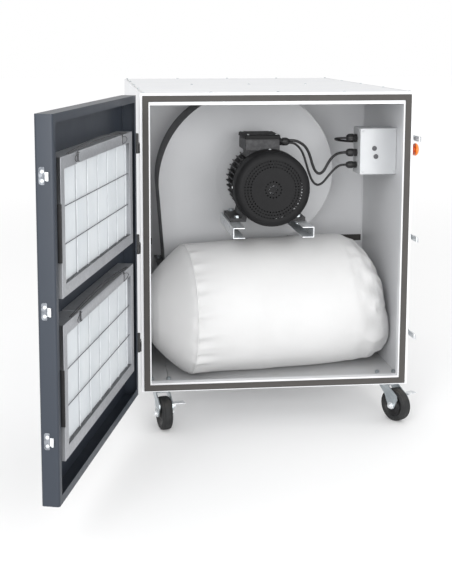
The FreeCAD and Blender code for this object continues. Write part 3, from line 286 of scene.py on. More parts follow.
# ------------------------------------------------------------------ finishes
@dataclass(frozen=True)
class Finish:
    """How one kind of surface looks.

    Attributes:
        name: The material's name.
        slot: The record's material slot; not used.
        colour: The main colour.
        tint: The colour that patches drift towards.
        mottle: Patches per metre.
        drift: How far the patches drift, 0 to 1.
        roughness: The middle roughness.
        spread: How far roughness varies.
        metallic: 1 for bare metal.
        grain: The fine relief.
        pitch: Millimetres from lump to lump of the relief.
        depth: Its depth in millimetres.
        wear: How much sharp edges are rubbed bright.
        dust: How much settles on what faces up.
        coat: Clear coat.
        sheen: Fabric sheen.
        gloss: Specular level.
    """

    name: str
    slot: str
    colour: Colour
    tint: Colour
    mottle: float = 5.0
    drift: float = 0.5
    roughness: float = 0.45
    spread: float = 0.12
    metallic: float = 0.0
    grain: Grain = Grain.PEEL
    pitch: float = 3.0
    depth: float = 0.05
    wear: float = 0.0
    dust: float = 0.0
    coat: float = 0.0
    sheen: float = 0.0
    gloss: float = 0.5

    def height(self, recipe: Recipe) -> Value:
        """Give the height of the fine relief.

        Args:
            recipe: The material that it goes in.

        Returns:
            The height.
        """
        scale = 1 / (self.pitch * MM)
        pitch = self.pitch * MM
        if self.grain is Grain.WEAVE:
            over = recipe.threads(Axis.X, pitch) * recipe.threads(Axis.Z, pitch)
            under = recipe.threads(Axis.X, 2 * pitch) * recipe.threads(Axis.Y, pitch)
            return over + under + recipe.cloud(scale / 9, 4.0) * 1.5
        if self.grain is Grain.STACK:
            return recipe.threads(Axis.Y, pitch) + recipe.cloud(scale, 2.0) * 0.3
        if self.grain is Grain.SPANGLE:
            return recipe.cells(scale) * 0.4 + recipe.cloud(scale * 3, 3.0) * 0.6
        if self.grain is Grain.BRUSHED:
            return recipe.cloud(scale, 4.0, (0.04, 1.0, 1.0))
        if self.grain is Grain.FIBRE:
            across = recipe.cloud(scale, 5.0, (1.0, 1.0, 0.12))
            return across + recipe.cloud(scale * 0.6, 5.0, (0.2, 0.2, 1.0))
        if self.grain is Grain.CAST:
            return recipe.cloud(scale, 6.0) + recipe.cloud(scale * 0.12, 2.0) * 0.8
        return recipe.cloud(scale, 2.0)

    def material(self) -> bpy.types.Material:
        """Give this finish's material.

        Returns:
            The material, made the first time it is asked for.
        """
        if self.name in bpy.data.materials:
            return bpy.data.materials[self.name]
        recipe = Recipe(self.name)
        patches = recipe.cloud(self.mottle, 5.0).step(0.35, 0.65)
        colour = recipe.blend(patches * self.drift, (*self.colour, 1.0), (*self.tint, 1.0))
        rough = recipe.cloud(self.mottle * 4, 4.0) * (2 * self.spread)
        rough = rough + (self.roughness - self.spread)
        if self.grain is Grain.SPANGLE:
            crystals = recipe.cells(1 / (self.pitch * MM))
            colour = recipe.blend(crystals * 0.35, colour, (*self.tint, 1.0))
            rough = rough + (crystals - 0.5) * 0.12
        if self.wear:
            edge = recipe.node("ShaderNodeNewGeometry", output="Pointiness").step(0.515, 0.56)
            rubbed = edge * recipe.cloud(90.0, 4.0).step(0.4, 0.62) * self.wear
            bright = tuple(min(1.0, c * 1.6 + 0.12) for c in self.colour)
            colour = recipe.blend(rubbed, colour, (*bright, 1.0))
            rough = rough + rubbed * 0.1
        if self.dust:
            normal = recipe.node("ShaderNodeNewGeometry", output="Normal")
            upward = recipe.node("ShaderNodeSeparateXYZ", {}, {0: normal}, 2).step(0.3, 1.0)
            settled = upward * recipe.cloud(26.0, 5.0).step(0.3, 0.75) * self.dust
            colour = recipe.blend(settled, colour, (*display(196, 188, 176), 1.0))
            rough = rough + settled * 0.4
        recipe.feed("Base Color", colour)
        recipe.feed("Roughness", rough)
        recipe.feed("Metallic", self.metallic)
        recipe.feed("Coat Weight", self.coat)
        recipe.feed("Sheen Weight", self.sheen)
        recipe.feed("Specular IOR Level", self.gloss)
        recipe.feed("Normal", recipe.relief(self.height(recipe), self.depth * MM))
        return recipe.material


CABINET = Finish("cabinet_powder", "body_paint", display(218, 219, 221), display(210, 211, 214),
                 3.0, 0.3, 0.42, 0.05, pitch=2.6, depth=0.012)
SKIN = Finish("cabinet_dusty", "body_paint", display(206, 207, 209), display(196, 197, 198),
              4.0, 0.35, 0.5, 0.08, pitch=2.6, depth=0.015, dust=0.12)
DOOR = Finish("door_powder", "door_paint", display(44, 50, 59), display(40, 46, 54),
              3.0, 0.3, 0.4, 0.05, pitch=2.2, depth=0.016, gloss=0.35)
SEAL = Finish("foam_rubber", "seal_rubber", display(72, 70, 68), display(66, 64, 63),
              14.0, 0.4, 0.85, 0.06, grain=Grain.CAST, pitch=0.9, depth=0.1, gloss=0.25)
FAN = Finish("fan_powder", "fan_paint", display(172, 173, 175), display(165, 166, 168),
             4.0, 0.3, 0.45, 0.05, pitch=2.4, depth=0.016, dust=0.05)
FAN_SIDE = Finish("fan_band", "fan_side", display(84, 85, 87), display(74, 75, 77),
                  6.0, 0.4, 0.5, 0.08, pitch=2.0, depth=0.04, dust=0.08, gloss=0.35)
STEEL = Finish("bare_steel", "bare_steel", display(186, 188, 192), display(140, 142, 146),
               20.0, 0.5, 0.33, 0.12, 1.0, Grain.BRUSHED, 0.5, 0.02, dust=0.1)
ZINC = Finish("zinc_plate", "zinc", display(190, 197, 200), display(140, 148, 154),
              30.0, 0.5, 0.34, 0.12, 0.85, Grain.SPANGLE, 3.5, 0.02, wear=0.3)
BRIGHT_ZINC = Finish("bright_zinc", "zinc", display(216, 219, 221), display(180, 184, 188),
                     16.0, 0.5, 0.34, 0.1, 0.5, Grain.SPANGLE, 7.0, 0.02, wear=0.5)
STRIKE = Finish("strike_zinc", "zinc", display(104, 108, 114), display(84, 88, 94),
                60.0, 0.5, 0.32, 0.1, 0.45, Grain.SPANGLE, 3.0, 0.02, wear=0.6)
MOTOR = Finish("motor_cast", "motor_paint", display(46, 46, 48), display(34, 34, 36),
               18.0, 0.6, 0.5, 0.1, grain=Grain.CAST, pitch=1.6, depth=0.12,
               wear=0.15, dust=0.05, gloss=0.3)
COWL = Finish("motor_cowl", "motor_paint", display(27, 27, 28), display(22, 22, 23),
              10.0, 0.4, 0.56, 0.06, pitch=1.8, depth=0.05, gloss=0.12)
CORE = Finish("core_stack", "lamination", display(120, 118, 116), display(86, 82, 78),
              24.0, 0.6, 0.42, 0.14, 0.9, Grain.STACK, 0.7, 0.05)
PLASTIC = Finish("black_moulding", "black_plastic", display(25, 25, 26), display(36, 36, 37),
                 30.0, 0.5, 0.42, 0.1, grain=Grain.MOULD, pitch=0.5, depth=0.03, gloss=0.35)
BOX = Finish("box_moulding", "grey_plastic", display(186, 188, 190), display(178, 180, 183),
             12.0, 0.4, 0.4, 0.06, grain=Grain.MOULD, pitch=0.6, depth=0.03, coat=0.1)
PLUG = Finish("plug_moulding", "grey_plastic", display(70, 70, 74), display(92, 92, 96),
              40.0, 0.5, 0.45, 0.1, grain=Grain.MOULD, pitch=0.5, depth=0.03)
CABLE = Finish("cable_jacket", "cable_rubber", display(24, 24, 25), display(38, 38, 39),
               45.0, 0.5, 0.46, 0.1, grain=Grain.MOULD, pitch=0.8, depth=0.05, gloss=0.35)
CLOTH = Finish("bag_cloth", "bag_fabric", display(196, 196, 196), display(190, 190, 190),
               7.0, 0.5, 0.86, 0.06, grain=Grain.WEAVE, pitch=1.4, depth=0.16, sheen=0.2)
THREAD = Finish("bag_thread", "bag_fabric", display(204, 204, 204), display(194, 194, 194),
                90.0, 0.5, 0.8, 0.08, grain=Grain.FIBRE, pitch=0.4, depth=0.05, sheen=0.2)
HINGE = Finish("hinge_black", "hinge_black", display(30, 30, 32), display(44, 44, 46),
               40.0, 0.5, 0.44, 0.1, grain=Grain.CAST, pitch=1.0, depth=0.04, wear=0.3, gloss=0.35)
FRAME = Finish("cassette_sheet", "cassette_metal", display(158, 160, 164), display(146, 148, 152),
               10.0, 0.4, 0.42, 0.08, 0.4, Grain.SPANGLE, 5.0, 0.015)
SPRING = Finish("spring_sheet", "cassette_metal", display(46, 46, 48), display(66, 66, 68),
                24.0, 0.6, 0.4, 0.1, 0.3, Grain.BRUSHED, 0.6, 0.02, wear=0.3)
MEDIA = Finish("filter_fleece", "media_fabric", display(188, 192, 195), display(178, 183, 187),
               9.0, 0.6, 0.92, 0.04, grain=Grain.FIBRE, pitch=1.2, depth=0.25, sheen=0.2)
WIRE = Finish("drawn_wire", "wire", display(96, 98, 102), display(72, 74, 78),
              60.0, 0.5, 0.36, 0.1, 0.6, Grain.BRUSHED, 0.4, 0.02)
BEAD = Finish("coated_wire", "wire", display(206, 209, 212), display(186, 190, 194),
              60.0, 0.5, 0.5, 0.1, grain=Grain.MOULD, pitch=0.5, depth=0.03)
TYRE = Finish("tyre_rubber", "tyre", display(32, 33, 34), display(48, 48, 48),
              34.0, 0.6, 0.68, 0.1, grain=Grain.CAST, pitch=0.9, depth=0.08, dust=0.06, gloss=0.3)
ORANGE = Finish("button_orange", "signal_plastic", display(240, 118, 34), display(228, 104, 26),
                40.0, 0.4, 0.3, 0.06, grain=Grain.MOULD, pitch=0.6, depth=0.02, coat=0.3)
RED = Finish("button_collar", "signal_base", display(150, 50, 22), display(120, 36, 16),
             40.0, 0.5, 0.4, 0.08, grain=Grain.MOULD, pitch=0.6, depth=0.02, coat=0.2)


# ------------------------------------------------------------------ forms
SOFT_ANGLE = math.radians(35)


def smoothing_group() -> bpy.types.NodeTree:
    """Give the node group that welds coincident points and shades soft below an angle.

    Returns:
        The group, made the first time it is asked for.
    """
    name = "weld_and_smooth"
    if name in bpy.data.node_groups:
        return bpy.data.node_groups[name]
    tree = bpy.data.node_groups.new(name, "GeometryNodeTree")
    for way in ("INPUT", "OUTPUT"):
        tree.interface.new_socket("Geometry", in_out=way, socket_type="NodeSocketGeometry")
    start = tree.nodes.new("NodeGroupInput")
    plain = tree.nodes.new("GeometryNodeRemoveAttribute")
    plain.inputs["Name"].default_value = "custom_normal"
    weld = tree.nodes.new("GeometryNodeMergeByDistance")
    weld.inputs["Distance"].default_value = 2e-6
    faces = tree.nodes.new("GeometryNodeSetShadeSmooth")
    edges = tree.nodes.new("GeometryNodeSetShadeSmooth")
    edges.domain = "EDGE"
    angle = tree.nodes.new("GeometryNodeInputMeshEdgeAngle")
    below = tree.nodes.new("FunctionNodeCompare")
    below.operation = "LESS_THAN"
    below.inputs[1].default_value = SOFT_ANGLE
    end = tree.nodes.new("NodeGroupOutput")
    link = tree.links.new
    link(start.outputs[0], plain.inputs[0])
    link(plain.outputs[0], weld.inputs[0])
    link(weld.outputs[0], faces.inputs["Geometry"])
    link(faces.outputs[0], edges.inputs["Geometry"])
    link(angle.outputs[0], below.inputs[0])
    link(below.outputs[0], edges.inputs["Shade Smooth"])
    link(edges.outputs[0], end.inputs[0])
    return tree


def polish(piece: bpy.types.Object, edge: float = 0.0) -> None:
    """Smooth a piece's shading and round its edges.

    Args:
        piece: The mesh object.
        edge: The rounding in millimetres, or 0 for none.
    """
    smooth = piece.modifiers.new("smooth", "NODES")
    smooth.node_group = smoothing_group()
    if edge:
        bevel = piece.modifiers.new("edges", "BEVEL")
        bevel.width = edge * MM
        bevel.segments = 2
        bevel.limit_method = "ANGLE"
        bevel.angle_limit = SOFT_ANGLE
        bevel.harden_normals = True


def lifted(axis: Axis, along: float, first: float, second: float) -> Vector:
    """Give the point at a place along an axis, its other two coordinates in row order."""
    if axis is Axis.X:
        return Vector((along, first, second))
    if axis is Axis.Y:
        return Vector((first, along, second))
    return Vector((first, second, along))


def placed(x: float, y: float, turn: float = 0.0, z: float = 0.0) -> Matrix:
    """Give a frame at a point in millimetres, turned about the upright in degrees."""
    return Matrix.Translation((x, y, z)) @ Matrix.Rotation(math.radians(turn), 4, "Z")


class Form:
    """A mesh under construction, given in millimetres and built in metres."""

    def __init__(self, frame: Matrix | None = None) -> None:
        """Start an empty form in a frame."""
        self.mesh = bmesh.new()
        self.frame = frame or Matrix.Identity(4)

    def skin(self, rings: Sequence[Sequence[Vector]], loop: bool = False) -> "Form":
        """Join rings of points by faces.

        Args:
            rings: Rings of the same number of points.
            loop: True to join the last ring to the first, with no caps.

        Returns:
            This form.
        """
        rows = [[self.mesh.verts.new(self.frame @ p) for p in ring] for ring in rings]
        follow = rows[1:] + (rows[:1] if loop else [])
        for below, above in zip(rows, follow):
            for n, _ in enumerate(below):
                m = (n + 1) % len(below)
                self.mesh.faces.new((below[n], below[m], above[m], above[n]))
        if not loop:
            self.mesh.faces.new(rows[0][::-1])
            self.mesh.faces.new(rows[-1])
        return self

    def prism(self, axis: Axis, start: float, stop: float, outline: Sequence[Flat]) -> "Form":
        """Fill an outline from start to stop along an axis."""
        return self.skin([[lifted(axis, w, u, v) for u, v in outline] for w in (start, stop)])

    def block(self, low: Point, high: Point) -> "Form":
        """Fill the box between two corners."""
        (x0, y0, z0), (x1, y1, z1) = low, high
        return self.prism(Axis.Z, z0, z1, [(x0, y0), (x1, y0), (x1, y1), (x0, y1)])

    def lathe(
        self,
        axis: Axis,
        centre: Flat,
        profile: Sequence[Flat],
        sides: int = 40,
        loop: bool = False,
        ribs: float = 0.0,
    ) -> "Form":
        """Turn a profile round a line along an axis.

        Args:
            axis: The line's direction.
            centre: The line's two other coordinates, in row order.
            profile: Pairs of place along the line and radius.
            sides: Points in each ring.
            loop: True for a profile that closes on itself.
            ribs: How far every other point stands in, in millimetres.

        Returns:
            This form.
        """
        rings = []
        for along, radius in profile:
            ring = []
            for n in range(sides):
                turn = 2 * math.pi * n / sides
                reach = radius - (ribs if n % 2 else 0.0)
                ring.append(lifted(axis, along, centre[0] + reach * math.cos(turn),
                                   centre[1] + reach * math.sin(turn)))
            rings.append(ring)
        return self.skin(rings, loop)

    def tube(self, path: Sequence[Vector], radius: float, sides: int = 10,
             loop: bool = False) -> "Form":
        """Sweep a round section along a path.

        Args:
            path: The points of the centre line.
            radius: The section's radius.
            sides: Points in each section.
            loop: True for a closed path.

        Returns:
            This form.
        """
        rings = []
        side = Vector((0.0, 0.0, 1.0))
        count = len(path)
        for n, here in enumerate(path):
            before = path[n - 1] if n or loop else here
            after = path[(n + 1) % count] if n + 1 < count or loop else here
            run = (after - before).normalized()
            side = side - run * side.dot(run)
            if side.length < 1e-3:
                side = run.orthogonal()
            side.normalize()
            up = run.cross(side)
            turns = [2 * math.pi * k / sides for k in range(sides)]
            rings.append([here + (side * math.cos(t) + up * math.sin(t)) * radius for t in turns])
        return self.skin(rings, loop)

    def build(
        self,
        name: str,
        body: str,
        finish: Finish,
        edge: float = 0.0,
        replaces: Iterable[str] = (),
    ) -> bpy.types.Object:
        """Turn the form into a piece of the model.

        Args:
            name: The piece's name.
            body: The body that it rides on.
            finish: Its finish.
            edge: The rounding of its edges in millimetres.
            replaces: The nodes that it stands for.

        Returns:
            The piece.
        """
        bmesh.ops.scale(self.mesh, vec=(MM, MM, MM), verts=self.mesh.verts)
        bmesh.ops.recalc_face_normals(self.mesh, faces=self.mesh.faces)
        mesh = bpy.data.meshes.new(name)
        self.mesh.to_mesh(mesh)
        self.mesh.free()
        piece = bpy.data.objects.new(name, mesh)
        bpy.context.scene.collection.objects.link(piece)
        mesh.materials.append(finish.material())
        polish(piece, edge)
        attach(piece, body)
        if replaces:
            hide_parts(*replaces)
        LOG.info("%s on %s", name, body)
        return piece


def dress(frame: dict, finish: Finish, edge: float, *nodes: str) -> None:
    """Give nodes of the frame their finish and soft edges.

    Args:
        finish: The finish.
        edge: The rounding of their edges in millimetres.
        nodes: The nodes' names.
    """
    for name in nodes:
        node = frame["nodes"][name]
        if not node.material_slots:
            node.data.materials.append(finish.material())
        for slot in node.material_slots:
            slot.material = finish.material()
        polish(node, edge)
        LOG.info("%s finished as %s", name, finish.name)


def pan_head(form: Form, axis: Axis, seat: float, centre: Flat, radius: float,
             way: float = 1.0) -> None:
    """Add a domed screw head with a sunk drive.

    Args:
        form: The form that it goes in.
        axis: The screw's direction.
        seat: Where the head sits along it.
        centre: Its two other coordinates.
        radius: The head's radius.
        way: 1 for a head that stands up the axis, -1 for down.
    """
    tall = radius * 0.55
    dome = [(0.0, 1.0), (0.25, 1.0), (0.62, 0.86), (0.88, 0.6), (1.0, 0.42), (0.72, 0.3),
            (0.62, 0.02)]
    form.lathe(axis, centre, [(seat + way * a * tall, r * radius) for a, r in dome], 24)


# ------------------------------------------------------------------ cabinet
@dataclass
class Cabinet:
    """Sheet-steel cabinet with its seal, roof screws and joint sealant.

    Attributes:
        half: Half the cabinet's width.
        front: The front face's place along Y.
        top: The roof's height.
        inset: From a screw to the cabinet's edge.
        head: Radius of a roof screw's head.
    """

    half: float = 400.0
    front: float = -580.0
    top: float = 1010.0
    inset: float = 11.0
    head: float = 4.5

    def screw_places(self) -> list[Flat]:
        """Give the roof screws' places: both sides, front, partition and rear."""
        side = self.half - self.inset
        edge = -self.front - self.inset
        rows = [-edge, self.front / 2 + self.inset / 2, 0.0, edge / 2, edge]
        places = [(x, y) for x in (-side, side) for y in rows]
        return places + [(x, y) for y in (-edge, -4.0, edge) for x in (-side / 2, 0.0, side / 2)]

    def build(self, frame: dict) -> None:
        """Dress the panels and make the roof screws and the joint sealant.
        """
        dress(frame, CABINET, 0.7, "side_wall_left", "side_wall_right", "front_frame",
              "rear_panel", "partition_panel", "roof_panel")
        dress(frame, SKIN, 0.7, "floor_panel")
        dress(frame, CABINET, 0.8, "inlet_spigot")
        dress(frame, CABINET, 0.8, "dust_bin")
        dress(frame, SEAL, 1.6, "door_gasket")
        dress(frame, SEAL, 0.8, "partition_rail")
        screws = Form()
        for x, y in self.screw_places():
            pan_head(screws, Axis.Z, self.top, (x, y), self.head)
            screws.lathe(Axis.Z, (x, y), [(self.top - 6, 2.0), (self.top - 5, 2.4),
                                          (self.top, 2.4)], 12)
        screws.build("roof_screw_heads", "cabinet", ZINC, 0.0, ["roof_screws"])
        beads = Form()
        inner = self.half - 2.8
        for x in (-inner, inner):
            beads.tube([Vector((x, -17.8, z)) for z in range(140, 1000, 20)], 3.0, 8)
        beads.tube([Vector((x, -17.8, 134.2)) for x in range(-390, 400, 20)], 3.0, 8)
        beads.build("joint_sealant", "cabinet", CABINET)


# ------------------------------------------------------------------ door
DOOR_FRAME = placed(-409.0, -586.0, -105.5)


@dataclass
class Door:
    """Tray-shaped door with its strikes, hinges, studs and hinge pin caps.

    Attributes:
        free: The free edge's place along the door.
        middle: The middle of the door's thickness.
        rows: Heights of the strikes.
        hinges: Heights of the hinges.
    """

    free: float = 806.0
    middle: float = -20.5
    rows: tuple[float, ...] = (872.0, 575.0, 281.0)
    hinges: tuple[float, ...] = (867.0, 575.0, 283.0)

    def build(self, frame: dict) -> None:
        """Dress the panel and hinges and make the strikes, studs and pin caps.
        """
        dress(frame, DOOR, 1.0, "door_panel")
        dress(frame, HINGE, 0.6, "hinge_cabinet_halves", "hinge_door_halves")
        self.strikes()
        pins = Form(DOOR_FRAME)
        for z in (584.0, 196.0):
            pan_head(pins, Axis.Y, -37.4, (52.0, z - 18), 6.0)
        pins.build("door_studs", "door", HINGE)
        caps = Form()
        for z in self.hinges:
            caps.lathe(Axis.Z, (-409.0, -586.0), [(z + 25.5, 2.9), (z + 26, 5.2), (z + 28.2, 5.2),
                                                   (z + 29.6, 3.6), (z + 29.8, 0.4)], 24)
        caps.build("hinge_pin_caps", "cabinet", HINGE)

    def strikes(self) -> None:
        """Make the three strikes: plate, two domed screws and a bent tab."""
        plates = Form(DOOR_FRAME)
        tabs = Form(DOOR_FRAME)
        screws = Form(DOOR_FRAME)
        face = self.free
        for z in self.rows:
            y0, y1 = self.middle - 12, self.middle + 1
            corner = 5.0
            outline = []
            for cy, cz, start in ((y1 - 2, z + 18, 0), (y0 + corner, z + 15, 90),
                                  (y0 + corner, z - 14, 180), (y1 - 2, z - 17, 270)):
                reach = 2.0 if start in (0, 270) else corner
                for step in range(4):
                    turn = math.radians(start + 30 * step)
                    outline.append((cy + reach * math.cos(turn), cz + reach * math.sin(turn)))
            plates.prism(Axis.X, face + 0.1, face + 1.6, outline)
            lip = y1 + 2.4
            hook = [(face + 0.1, lip - 1.6), (face + 0.1, lip + 6.6), (face + 5.6, lip + 8),
                    (face + 7.0, lip + 7), (face + 7.0, lip + 3.2), (face + 5.6, lip + 3.6),
                    (face + 5.2, lip + 6), (face + 1.6, lip + 5.2), (face + 1.6, lip - 1.6)]
            tabs.prism(Axis.Z, z - 10, z + 9, hook)
            for side in (-10, 10):
                pan_head(screws, Axis.X, face + 1.6, (self.middle - 4, z + side), 4.5)
        plates.build("strike_plates", "door", STRIKE, 0.4, ["latch_strikes"])
        tabs.build("strike_tabs", "door", BRIGHT_ZINC, 0.3)
        screws.build("strike_screws", "door", BRIGHT_ZINC)


@dataclass
class Cassette:
    """Panel filter held in the door: mitred frame, pleated media and wire grid.

    Attributes:
        name: The cassette's name.
        low: Its lowest height.
        start: Where it starts along the door.
        long: Its length.
        tall: Its height.
        border: The width of its frame.
        back: Its back, across the door.
        face: Its face, across the door.
        gap: From and to where the clamp bar's recess runs.
        pleat: Millimetres from pleat to pleat.
    """

    name: str
    low: float
    start: float = 88.0
    long: float = 685.0
    tall: float = 312.0
    border: float = 28.0
    back: float = -38.5
    face: float = 6.5
    gap: Flat = (204.0, 646.0)
    pleat: float = 12.2

    def frame_form(self) -> Form:
        """Make the four mitred sides, with the clamp bar's recess in the top one.

        Returns:
            The form.
        """
        x0, x1 = self.start, self.start + self.long
        z0, z1 = self.low, self.low + self.tall
        b = self.border
        left, right = self.gap
        form = Form(DOOR_FRAME)
        whole = [
            [(x0, z0), (x1, z0), (x1 - b, z0 + b), (x0 + b, z0 + b)],
            [(x0, z0), (x0 + b, z0 + b), (x0 + b, z1 - b), (x0, z1)],
            [(x1, z0), (x1, z1), (x1 - b, z1 - b), (x1 - b, z0 + b)],
            [(x0, z1), (x0 + b, z1 - b), (left, z1 - b), (left, z1)],
            [(right, z1), (right, z1 - b), (x1 - b, z1 - b), (x1, z1)],
        ]
        for outline in whole:
            form.prism(Axis.Y, self.back, self.face, outline)
        form.prism(Axis.Y, self.back, self.face - 8,
                   [(left + 10, z1 - b), (right - 10, z1 - b), (right - 10, z1), (left + 10, z1)])
        return form

    def media_form(self) -> Form:
        """Make the fleece, its face laid in soft pleats.

        Returns:
            The form.
        """
        x0 = self.start + self.border
        x1 = self.start + self.long - self.border
        steps = 260
        outline = [(x0, self.back + 1.5)]
        for n in range(steps + 1):
            x = x0 + (x1 - x0) * n / steps
            wave = math.cos(2 * math.pi * (x - x0) / self.pleat)
            drift = noise.noise(Vector((x * 0.021, self.low, 1.0)))
            outline.append((x, -5.3 + 1.5 * wave + 0.8 * drift))
        outline.append((x1, self.back + 1.5))
        low, high = self.low + self.border, self.low + self.tall - self.border
        return Form(DOOR_FRAME).prism(Axis.Z, low, high, outline)

    def build(self) -> None:
        """Make the cassette's pieces."""
        other = [f"filter_{part}" for part in ("frames", "media", "grids")]
        self.frame_form().build(f"cassette_frame_{self.name}", "door", FRAME, 0.9, other[:1])
        self.media_form().build(f"cassette_media_{self.name}", "door", MEDIA, 0.0, other[1:2])
        middle = self.start + self.long / 2
        b = self.border
        columns = Form(DOOR_FRAME)
        for n in range(7):
            x = middle + (n - 3) * 96.5
            path = [Vector((x, -2.0, self.low + b + (self.tall - 2 * b) * s / 8))
                    for s in range(9)]
            columns.tube(path, 1.25, 8)
        columns.build(f"grid_columns_{self.name}", "door", BEAD, 0.0, other[2:])
        rows = Form(DOOR_FRAME)
        for share in (1 / 3, 2 / 3):
            z = self.low + b + (self.tall - 2 * b) * share
            path = [Vector((self.start + b + (self.long - 2 * b) * s / 20, 0.1, z))
                    for s in range(21)]
            rows.tube(path, 1.15, 8)
        rows.build(f"grid_rows_{self.name}", "door", WIRE)
        self.bar()
        self.pulls()

    def bar(self) -> None:
        """Make the clamp bar and the two bowed springs over it."""
        body = f"clamp_{self.name}"
        top = self.low + self.tall
        start, stop = self.gap[0] + 11, self.gap[1] - 11
        form = Form(DOOR_FRAME)
        form.prism(Axis.X, start, stop, [(-1.2, top - 26), (8.2, top - 26), (9.5, top - 24),
                                         (9.5, top - 4), (7.4, top + 0.4), (-1.2, top + 1)])
        form.build(f"clamp_channel_{self.name}", body, FRAME, 0.7, [f"clamp_bar_{self.name}"])
        springs = Form(DOOR_FRAME)
        ends = (start - 70, stop + 70)
        for across, rise in ((0.6, 12.0), (4.6, 7.5)):
            path = []
            for step in range(33):
                share = step / 32
                path.append(Vector((ends[0] + (ends[1] - ends[0]) * share, across,
                                    top + 1.9 + rise * math.sin(math.pi * share))))
            springs.tube(path, 1.1, 8)
        for x in (start - 5.5, stop + 5.5):
            springs.tube([Vector((x, 8.6, top - 22 + 23 * s / 6)) for s in range(7)], 1.4, 8)
        springs.build(f"bar_springs_{self.name}", body, SPRING)

    def pulls(self) -> None:
        """Make the thin wire pull at each end of the clamp bar."""
        form = Form(DOOR_FRAME)
        top = self.low + self.tall
        for x, way in ((self.gap[0] + 14, -1), (self.gap[1] - 14, 1)):
            path = []
            for step in range(17):
                turn = math.pi * step / 16
                path.append(Vector((x + way * 46 * math.sin(turn), 9.8 + 2.2 * math.sin(turn),
                                    top - 3 - 20 * (1 - math.cos(turn)) / 2)))
            form.tube(path, 0.9, 8)
        form.build(f"bar_pulls_{self.name}", f"clamp_{self.name}", SPRING)


# ------------------------------------------------------------------ motor and fan
@dataclass
class Blower:
    """Motor, fan housing and rails.

    Attributes:
        height: The shaft's height.
        cowl_back: The cowl's rear edge.
        cowl_radius: The cowl's radius.
        terminal: Lowest and highest corner of the terminal box.
    """

    height: float = 717.0
    cowl_back: float = -430.0
    cowl_radius: float = 114.0
    terminal: tuple[Point, Point] = ((-73, -430, 826), (32, -290, 875))

    def build(self, frame: dict) -> None:
        """Dress the castings and make the terminal box and small fixings.
        """
        dress(frame, FAN, 0.6, "scroll_front_plate", "fan_cover_ring")
        dress(frame, FAN_SIDE, 0.4, "scroll_wrap", "bag_clamp_frame")
        dress(frame, STEEL, 0.4, "inlet_cone", "impeller", "bearings", "motor_shaft")
        dress(frame, MOTOR, 0.5, "motor_housing", "motor_end_shields")
        dress(frame, COWL, 0.0, "fan_cowl")
        dress(frame, CORE, 0.5, "stator")
        dress(frame, PLASTIC, 0.4, "cooling_fan")
        dress(frame, BRIGHT_ZINC, 0.5, "motor_rails")
        dress(frame, ZINC, 0.5, "fixing_bolts")
        self.terminal_box()
        rim = Form(placed(0, 0, 0, self.height))
        r = self.cowl_radius
        rim.lathe(Axis.Y, (0, 0), [(-432.6, r - 1), (-432.6, r + 0.9), (-431.6, r + 1.4),
                                   (-430.6, r + 0.9), (-430.6, r - 1)], 96, True)
        rim.build("cowl_bead", "cabinet", COWL)
        screws = Form()
        for turn in (0, 90, 180, 270):
            angle = math.radians(turn)
            x, z = r * math.cos(angle), r * math.sin(angle)
            if turn in (0, 180):
                way = 1 if turn == 0 else -1
                pan_head(screws, Axis.X, x, (self.cowl_back - 9, self.height), 4.2, way)
            else:
                way = 1 if turn == 90 else -1
                pan_head(screws, Axis.Z, self.height + z, (0.0, self.cowl_back - 9), 4.2, way)
        screws.build("cowl_screws", "cabinet", BRIGHT_ZINC)

    def terminal_box(self) -> None:
        """Make the cast terminal box with its overhanging lid and corner screws."""
        (x0, y0, z0), (x1, y1, z1) = self.terminal
        box = Form()
        box.block((x0, y0, z0), (x1, y1, z1 - 14))
        box.build("terminal_box_shell", "cabinet", MOTOR, 2.6, ["terminal_box"])
        seal = Form()
        seal.block((x0 + 1.5, y0 + 1.5, z1 - 14.4), (x1 - 1.5, y1 - 1.5, z1 - 12.4))
        seal.build("terminal_seal", "cabinet", PLASTIC, 0.4)
        lid = Form()
        rings = []
        for z, grow in ((z1 - 12.6, 1.6), (z1 - 10.8, 2.0), (z1 - 2.4, 1.2), (z1, -1.8)):
            rings.append([Vector((x, y, z)) for x, y in
                          ((x0 - grow, y0 - grow), (x1 + grow, y0 - grow),
                           (x1 + grow, y1 + grow), (x0 - grow, y1 + grow))])
        lid.skin(rings)
        lid.build("terminal_lid", "cabinet", COWL, 1.6)
        screws = Form()
        for x in (x0 + 9, x1 - 9):
            for y in (y0 + 9, y1 - 9):
                pan_head(screws, Axis.Z, z1 - 0.2, (x, y), 3.6)
        screws.build("terminal_screws", "cabinet", BRIGHT_ZINC)


# ------------------------------------------------------------------ electrics
@dataclass
class Cord:
    """A free cable on one smooth route.

    Attributes:
        name: The node that it stands for.
        thick: Its diameter.
        length: Its length.
        route: The points that steer it.
    """

    name: str
    thick: float
    length: float
    route: Sequence[Point]

    def build(self) -> bpy.types.Object:
        """Make the cable and say what it is.

        Returns:
            The curve.
        """
        curve = bpy.data.curves.new(f"{self.name}_run", "CURVE")
        curve.dimensions = "3D"
        curve.bevel_depth = self.thick * MM / 2
        curve.bevel_resolution = 6
        curve.resolution_u = 10
        curve.use_fill_caps = True
        spline = curve.splines.new("NURBS")
        spline.points.add(len(self.route) - 1)
        for point, (x, y, z) in zip(spline.points, self.route):
            point.co = (x * MM, y * MM, z * MM, 1.0)
        spline.order_u = 3
        spline.use_endpoint_u = True
        piece = bpy.data.objects.new(f"{self.name}_run", curve)
        bpy.context.scene.collection.objects.link(piece)
        curve.materials.append(CABLE.material())
        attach(piece, "cabinet")
        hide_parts(self.name)
        x, y, z = self.route[0]
        LOG.info("%s runs %.0f mm", piece.name, self.length)
        return piece


